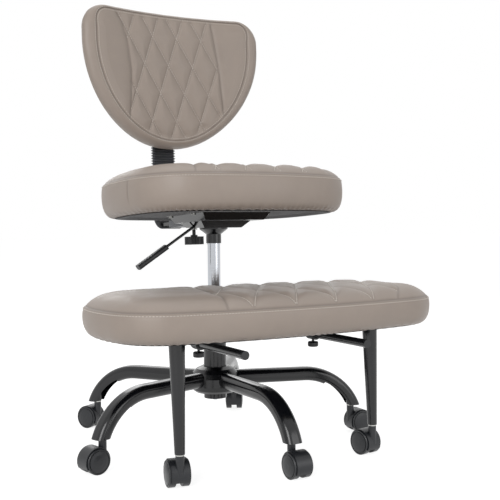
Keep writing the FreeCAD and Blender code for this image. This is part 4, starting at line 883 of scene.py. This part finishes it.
def back_front(x, z, beyond):
    """Front of the backrest: its curve, drawn back towards the perimeter seam, with the quilting.

    The last number is the distance from the perimeter seam, inwards."""
    swell = BACK_SWELL * (1 - (1 - np.clip(beyond / BACK_LEVEL, 0, 1)) ** 2)
    fade = np.clip(beyond / BACK_FADE, 0, 1)
    quilting = back_quilt().dip(x, z) - 0.5 * ripple(x, z, 80.0, 31)
    face = back_base(x, BACK_FRONT_RADIUS, BACK_FRONT_Y) + BACK_SWELL
    return face - swell + 0.8 * bell(beyond, 1.8) + fade * quilting


def back_between(x, depth):
    """The surface that lies some way from the front curve to the split with the rear panel."""
    front = back_base(x, BACK_FRONT_RADIUS, BACK_FRONT_Y)
    rear = back_base(x, BACK_REAR_RADIUS - REAR_PANEL, BACK_REAR_Y - REAR_PANEL)
    return front + depth / BACK_SPLIT_DEPTH * (rear - front)


def back_ring(wide, deep):
    corners = ((-150.0, 725.0), (150.0, 725.0), (209.0, 965.0), (-209.0, 965.0))
    return spaced_ring(*back_outline(), corners, (wide, deep, wide, deep))


def back_beyond(x, z):
    """Distance of places on the backrest inwards from its perimeter seam."""
    outline, outs = back_outline()
    distance, index = nearest_on(outline[::4], x, z)
    return distance - seam_inset(outs[::4])[index]


def back_pad():
    """The padded front of the backrest: quilted face, seam, and a round band to the rear split."""
    ring, out = back_ring(*BACK_COUNTS)
    seam = seam_inset(out)[:, None]
    rings = []
    for beyond in BACK_CROWN * np.linspace(1, 0, 14)[1:] ** 1.2:
        x, z = (ring - out * (seam + beyond)).T
        rings.append(np.column_stack((x, back_front(x, z, beyond), z)))
    for inset, depth in BACK_BAND:
        x, z = (ring - out * (inset / BACK_SEAM * seam)).T
        soft = 0.5 * ripple(x, z + depth, 60.0, 33) * (5 < depth < 38)
        rings.append(np.column_stack((x, back_between(x, depth) + soft, z)))
    patch = patch_inside(ring - out * (seam + BACK_CROWN), *BACK_COUNTS)
    x, z = patch[..., 0], patch[..., 1]
    top = np.dstack((x, back_front(x, z, BACK_LEVEL), z))
    pole = (0.0, BACK_REAR_Y - REAR_PANEL - 2.0, (BACK_BOTTOM + BACK_TOP) / 2)
    return closed_pad(top, rings, pole)


def back_painted_shade(points):
    """How much shade is painted at each point of the pad, in the creases of its seams and sewn
    lines, from 0 to 1.
    """
    x, y, z = points.T
    beyond = back_beyond(x, z)
    lines = back_quilt().painted_shade(x, z, (2.0, 1.8), 1.0) * (beyond > 0)
    near_front = y < back_base(x, BACK_FRONT_RADIUS, BACK_FRONT_Y) + 15
    return np.maximum(bell(beyond, 1.7), lines) * near_front


def rear_panel():
    """The leather rear of the backrest: from the split round the edge to a padded rear face."""
    ring, out = back_ring(*REAR_COUNTS)
    rings = []
    for inset, depth in REAR_PROFILE:
        x, z = (ring - out * inset).T
        rings.append(np.column_stack((x, back_base(x, BACK_REAR_RADIUS, BACK_REAR_Y) - depth, z)))
    patch = patch_inside(ring - out * REAR_FACE_INSET, *REAR_COUNTS)
    x, z = patch[..., 0], patch[..., 1]
    y = back_base(x, BACK_REAR_RADIUS, BACK_REAR_Y) + 0.3 * ripple(x, z, 120.0, 35)
    pole = (0.0, BACK_REAR_Y - REAR_PANEL + 4.0, (BACK_BOTTOM + BACK_TOP) / 2)
    return closed_pad(np.dstack((x, y, z)), rings, pole)


def back_thread_paths():
    """Two rows beside the perimeter seam, and one row along every diamond line."""
    ring, out = back_ring(*BACK_COUNTS)
    seam = seam_inset(out)[:, None]
    x, z = (ring - out * (seam + INNER_ROW)).T
    inner = np.column_stack((x, back_front(x, z, INNER_ROW) - 0.3, z))
    x, z = (ring - out * (OUTER_ROW[0] * seam)).T
    outer = np.column_stack((x, back_between(x, OUTER_ROW[1]) - 0.3, z))
    paths = [np.vstack((row, row[:1])) for row in (inner, outer)]
    quilt = back_quilt()
    z = np.linspace(BACK_BOTTOM, BACK_TOP, 320)
    for x in quilt.sewn_lines(z):
        beyond = back_beyond(x, z)
        inside = (beyond > 5) & (z > BACK_BOTTOM) & (z < BACK_TOP)
        inside &= (np.abs(x) < BACK_HALF_WIDTH) & (quilt.seam_distance(x, z) > 2)
        for part in runs(inside):
            y = back_front(x[part], z[part], beyond[part]) - 0.6
            paths.append(np.column_stack((x[part], y, z[part])))
    return paths, [(0.0, -1.0, 0.0)] * len(paths)


def dust_cover(plan, bottom):
    """A thin closed cloth drawn over the cushion's turned edge and up to its board.

    Rings drawn in from the outline, first flat on the leather, then rising to the board, and a
    second sheet of them just below. Also the outer ring."""
    outline, outs = bowed_outline(*plan)
    ring, out = spaced_ring(outline, outs, [outline[0]], (COVER_POINTS,))
    centre = np.array((0.0, plan[5]))
    levels = []
    for inset in COVER_INSETS:
        places = ring - out * inset
        rise = (BOARD_LIFT - 1.6) * np.clip((inset - 41.0) / 17.0, 0, 1)
        wave = 0.3 * ripple(*places.T, 45.0, 41) * (inset > 58)
        levels.append(np.column_stack((places, bottom - 0.4 + rise + wave)))
    for share in COVER_SHARES:
        places = centre + (ring - out * COVER_INSETS[-1] - centre) * share
        wave = 0.3 * ripple(*places.T, 45.0, 41)
        levels.append(np.column_stack((places, bottom + BOARD_LIFT - 2.0 + wave)))
    under = [level - (0, 0, COVER_THICKNESS) for level in levels]
    poles = [(0, plan[5], sheet[-1][:, 2].mean()) for sheet in (levels, under)]
    points = np.vstack((*levels[::-1], *under, poles))
    rows = 2 * len(levels)
    faces = grid_faces(rows, COVER_POINTS, close_columns=True)
    faces += fan_faces(0, COVER_POINTS, len(points) - 2)
    faces += fan_faces((rows - 1) * COVER_POINTS, COVER_POINTS, len(points) - 1)
    return points, faces, levels[0][:, :2]


def ribbed_sleeve(line, ups, ribs):
    """Points and faces of a sleeve carried along a line, with a row of round ribs.

    The section is a rounded rectangle round the bar. It stands out by the rib height times a
    rounded wave of the ribs so far, and turns in to the bar at both ends."""
    half = np.array((BAR_HALF_WIDTH + 1.6, BAR_THICKNESS / 2 + 1.6))
    corner, count = 4.0, 48
    share = np.linspace(0, 1, ribs * 8 + 1)
    station = share * (len(line) - 1)
    centre, up = (
        np.stack([np.interp(station, np.arange(len(line)), values[:, k]) for k in range(3)], -1)
        for values in (line, ups)
    )
    height = chair_settings().plastic.rib_height / MM
    wave = height * (0.5 - 0.5 * np.cos(2 * math.pi * ribs * share)) ** 0.7
    angle = np.linspace(0, 2 * math.pi, count, endpoint=False) + math.pi / count
    turn = np.stack((np.cos(angle), np.sin(angle)), -1)
    outer = np.sign(turn) * (half - corner) + (corner + wave)[:, None, None] * turn
    lip = np.sign(turn) * (half - 1.2 - corner * 0.6) + corner * 0.6 * turn
    section = np.concatenate((outer, lip[None], lip[None]))
    centre = np.concatenate((centre, line[-1:], line[:1]))[:, None]
    up = np.concatenate((up, ups[-1:], ups[:1]))[:, None]
    points = centre + section[..., :1] * (1.0, 0.0, 0.0) + section[..., 1:] * up
    faces = grid_faces(len(points), count, close_rows=True, close_columns=True)
    return points.reshape(-1, 3), faces


class CHAIR_OT_knee_cushion(bpy.types.Operator):
    """Make the wide lower cushion with its quilted middle panel"""

    bl_idname = "chair.knee_cushion"
    bl_label = "Knee cushion"

    def execute(self, context):
        seams = (
            ((-172, -395), (-131, -232), (-93, -80), (-84, -45)),
            ((190, -395), (246, -330), (300, -233), (325, -81), (329, -45)),
        )
        depth = chair_settings().upholstery.quilt_depth / MM
        quilt = Quilt((-32.0, -385.0), 87.0, (0.62, -0.03), seams, depth)
        joins = ((-345.0, -241.0), (345.0, -241.0))
        cushion = Cushion(KNEE_PLAN, KNEE_BOTTOM, KNEE_BOXING, quilt, joins, (250, 96), 11)
        dress_cushion(cushion, "knee_cushion_cover", "knee_cushion", "kneeler")
        return {"FINISHED"}


class CHAIR_OT_seat_cushion(bpy.types.Operator):
    """Make the seat cushion with its quilted middle panel"""

    bl_idname = "chair.seat_cushion"
    bl_label = "Seat cushion"

    def execute(self, context):
        seams = (
            ((-160, -250), (-110, -121), (-92, -45), (-84, 160)),
            ((158, -250), (168, -146), (172, -45), (172, 160)),
        )
        depth = chair_settings().upholstery.quilt_depth / MM
        quilt = Quilt((27.0, -113.0), 66.0, (0.62, -0.03), seams, depth)
        joins = ((-243.0, -110.0), (243.0, -110.0))
        cushion = Cushion(SEAT_PLAN, SEAT_BOTTOM, SEAT_BOXING, quilt, joins, (176, 132), 23)
        dress_cushion(cushion, "seat_cushion_cover", "seat_cushion", "seat")
        return {"FINISHED"}


class CHAIR_OT_backrest(bpy.types.Operator):
    """Make the D-shaped backrest pad, its threads and its leather rear"""

    bl_idname = "chair.backrest"
    bl_label = "Backrest"

    def execute(self, context):
        points, faces = back_pad()
        # Painted shade in the pad's creases; none on the rear panel
        painted_shade = back_painted_shade(points)
        leather_piece("backrest_pad", points, faces, painted_shade, "back_cushion", "backrest")
        points, faces = rear_panel()
        painted_shade = np.zeros(len(points))
        leather_piece("backrest_rear", points, faces, painted_shade, "back_rear_panel", "backrest")
        thread_piece("backrest_threads", *back_thread_paths(), "backrest")
        return {"FINISHED"}


class CHAIR_OT_dust_covers(bpy.types.Operator):
    """Make the cloths stapled under the seat and knee boards"""

    bl_idname = "chair.dust_covers"
    bl_label = "Dust covers"

    def execute(self, context):
        rows = (
            ("knee_dust_cloth", "knee_dust_cover", "kneeler", KNEE_PLAN, KNEE_BOTTOM, "knee_board"),
            ("seat_dust_cloth", "seat_dust_cover", "seat", SEAT_PLAN, SEAT_BOTTOM, "seat_board"),
        )
        cloth = material_for("spunbond_cloth")
        for name, node, body, plan, bottom, board in rows:
            points, faces, edge = dust_cover(plan, bottom)
            cover = make_piece(name, points, faces, body, cloth)
            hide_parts(node)
        return {"FINISHED"}


class CHAIR_OT_bar_sleeves(bpy.types.Operator):
    """Make the two ribbed sleeves on the backrest bar"""

    bl_idname = "chair.bar_sleeves"
    bl_label = "Ribbed sleeves"

    def execute(self, context):
        pvc = material_for("soft_pvc")
        low, high = 528.6, 701.4
        line = np.array([(0.0, BAR_Y, z) for z in np.linspace(low, high, 12)])
        ups = np.tile((0.0, 1.0, 0.0), (12, 1))
        points, faces = ribbed_sleeve(line, ups, chair_settings().plastic.ribs)
        upper = make_piece("sleeve_upper", points, faces, "bar", pvc)
        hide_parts("bar_sleeve_upper")
        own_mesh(upper)
        bend, bar_z = 36.0, 488.0
        angle = np.linspace(0, math.pi / 2, 24)
        ups = np.stack((0 * angle, np.sin(angle), -np.cos(angle)), -1)
        line = bend * ups + (0.0, BAR_Y - bend, bar_z + bend)
        points, faces = ribbed_sleeve(line, ups, 13)
        lower = make_piece("sleeve_lower", points, faces, "bar", pvc)
        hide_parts("bar_sleeve_lower")
        return {"FINISHED"}


FINISHES = {
    "black_powder_coat": (
        "star_hub", "star_arms", "column_tube", "column_collar", "kneeler_crossbar", "guide_rods",
        "leg_tubes", "leg_plates", "taper_hub", "lower_pan", "seat_plate", "back_bar",
        "back_housing", "lift_lever", "arm_sockets",
    ),
    "grey_powder_coat": ("bar_bracket",),
    "hard_chrome": ("gas_cylinder", "piston_rod"),
    "zinc_plate": (
        "base_caster_stems", "leg_caster_stems", "thrust_bearing", "rod_clip", "valve_button",
        "seat_fasteners", "back_screws", "leg_screws",
    ),
    "poplar_plywood": ("seat_board", "knee_board", "back_board"),
}


class CHAIR_OT_finishes(bpy.types.Operator):
    """Give every carried-over solid its finish"""

    bl_idname = "chair.finishes"
    bl_label = "Metal and plastic finishes"

    def execute(self, context):
        given = {node: name for name, nodes in FINISHES.items() for node in nodes}
        for node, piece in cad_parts.items():
            plastic = "castor_nylon" if node.startswith("caster_") else "moulded_nylon"
            piece.data.materials.clear()
            piece.data.materials.append(material_for(given.get(node, plastic)))
        return {"FINISHED"}


# Studio
def softbox(name, place, size, power):
    """A square area lamp turned towards the chair."""
    lamp = bpy.data.lights.new(name, "AREA")
    lamp.shape = "RECTANGLE"
    lamp.size = lamp.size_y = size
    lamp.energy = power
    holder = bpy.data.objects.new(name, lamp)
    bpy.context.scene.collection.objects.link(holder)
    holder.location = place
    holder.rotation_euler = (Vector(LAMP_AIM) - Vector(place)).to_track_quat("-Z", "Y").to_euler()


def mix_seen_directly(tree, other, seen, output):
    """One shader where a ray comes from the camera, a mirror or glass, and the other elsewhere."""
    path = add_node(tree, "ShaderNodeLightPath")
    either = {0: path.outputs["Is Camera Ray"], 1: path.outputs["Is Glossy Ray"]}
    either = add_node(tree, MATHS, {"operation": "MAXIMUM"}, either)
    any_of = {0: either.outputs[0], 1: path.outputs["Is Transmission Ray"]}
    any_of = add_node(tree, MATHS, {"operation": "MAXIMUM"}, any_of)
    shaders = {0: any_of.outputs[0], 1: other.outputs[0], 2: seen.outputs[0]}
    mixed = add_node(tree, "ShaderNodeMixShader", links=shaders)
    add_node(tree, output, links={"Surface": mixed.outputs[0]})


def cleared_tree(owner):
    owner.use_nodes = True
    owner.node_tree.nodes.clear()
    return owner.node_tree


class CHAIR_OT_stage(bpy.types.Operator):
    """Make the floor, lamps, surroundings and camera"""

    bl_idname = "chair.stage"
    bl_label = "Studio"

    def execute(self, context):
        s = chair_settings().stage
        scene = context.scene
        mesh = bpy.data.meshes.new("floor")
        far = FLOOR_REACH
        corners = [(-far, -far, 0), (far, -far, 0), (far, far, 0), (-far, far, 0)]
        mesh.from_pydata(corners, [], [range(4)])
        floor = bpy.data.objects.new("floor", mesh)
        scene.collection.objects.link(floor)
        material = bpy.data.materials.new("studio_floor")
        tree = cleared_tree(material)
        matt = add_node(tree, "ShaderNodeBsdfDiffuse", {"Color": (*shade(s.floor, 0.60), 1)})
        glow = add_node(tree, "ShaderNodeEmission", {"Color": (1, 1, 1, 1), "Strength": 0.84})
        lit = add_node(tree, "ShaderNodeAddShader", links={0: matt.outputs[0], 1: glow.outputs[0]})
        plain = add_node(tree, "ShaderNodeBsdfDiffuse", {"Color": (*shade(s.floor, 0.8), 1)})
        mix_seen_directly(tree, plain, lit, "ShaderNodeOutputMaterial")
        mesh.materials.append(material)

        scene.world = bpy.data.worlds.new("studio")
        tree = cleared_tree(scene.world)
        soft = add_node(tree, "ShaderNodeBackground", {"Color": (1, 1, 1, 1), "Strength": 0.30})
        white = add_node(tree, "ShaderNodeBackground", {"Color": (1, 1, 1, 1), "Strength": 1.0})
        mix_seen_directly(tree, soft, white, "ShaderNodeOutputWorld")
        for lamp in LAMPS:
            softbox(*lamp)

        level, across, away = math.cos(s.pitch), math.cos(s.azimuth), math.sin(s.azimuth)
        back = Vector((away * level, -across * level, math.sin(s.pitch)))
        side = Vector((across, away, 0))
        above = back.cross(side)
        right = side * math.cos(s.roll) + above * math.sin(s.roll)
        up = above * math.cos(s.roll) - side * math.sin(s.roll)
        view = bpy.data.cameras.new("camera")
        view.lens = s.lens
        view.sensor_width = 36.0
        view.clip_end = 100.0
        camera = bpy.data.objects.new("camera", view)
        scene.collection.objects.link(camera)
        turn = Matrix((right, up, back)).transposed().to_4x4()
        camera.matrix_world = Matrix.Translation(Vector(s.camera)) @ turn
        scene.camera = camera
        scene.view_settings.view_transform = "Standard"
        return {"FINISHED"}


OPERATORS = (
    CHAIR_OT_finishes, CHAIR_OT_knee_cushion, CHAIR_OT_seat_cushion, CHAIR_OT_backrest,
    CHAIR_OT_dust_covers, CHAIR_OT_bar_sleeves, CHAIR_OT_stage,
)


class CHAIR_PT_panel(bpy.types.Panel):
    """Pieces and sizes of the kneeling chair"""

    bl_idname = "CHAIR_PT_panel"
    bl_label = "Kneeling chair"
    bl_space_type = "VIEW_3D"
    bl_region_type = "UI"
    bl_category = "Chair"

    def draw(self, context):
        for operator in OPERATORS:
            self.layout.operator(operator.bl_idname)
        settings = context.scene.kneeling_chair
        for group in (settings.upholstery, settings.metal, settings.plastic, settings.stage):
            box = self.layout.box()
            for name in group.bl_rna.properties.keys():
                if name not in ("rna_type", "name"):
                    box.prop(group, name)


CLASSES = (
    UpholsterySettings, MetalSettings, PlasticSettings, StageSettings, ChairSettings, *OPERATORS,
    CHAIR_PT_panel,
)


def register():
    for each in CLASSES:
        bpy.utils.register_class(each)
    bpy.types.Scene.kneeling_chair = PointerProperty(type=ChairSettings)


def unregister():
    del bpy.types.Scene.kneeling_chair
    for each in reversed(CLASSES):
        bpy.utils.unregister_class(each)


def main():
    """Make every piece in order."""
    register()
    for operator in OPERATORS:
        call = getattr(bpy.ops.chair, operator.bl_idname.split(".")[1])
        if call() != {"FINISHED"}:
            raise RuntimeError(operator.bl_label + " didn't finish")


if __name__ == "__main__":
    main()
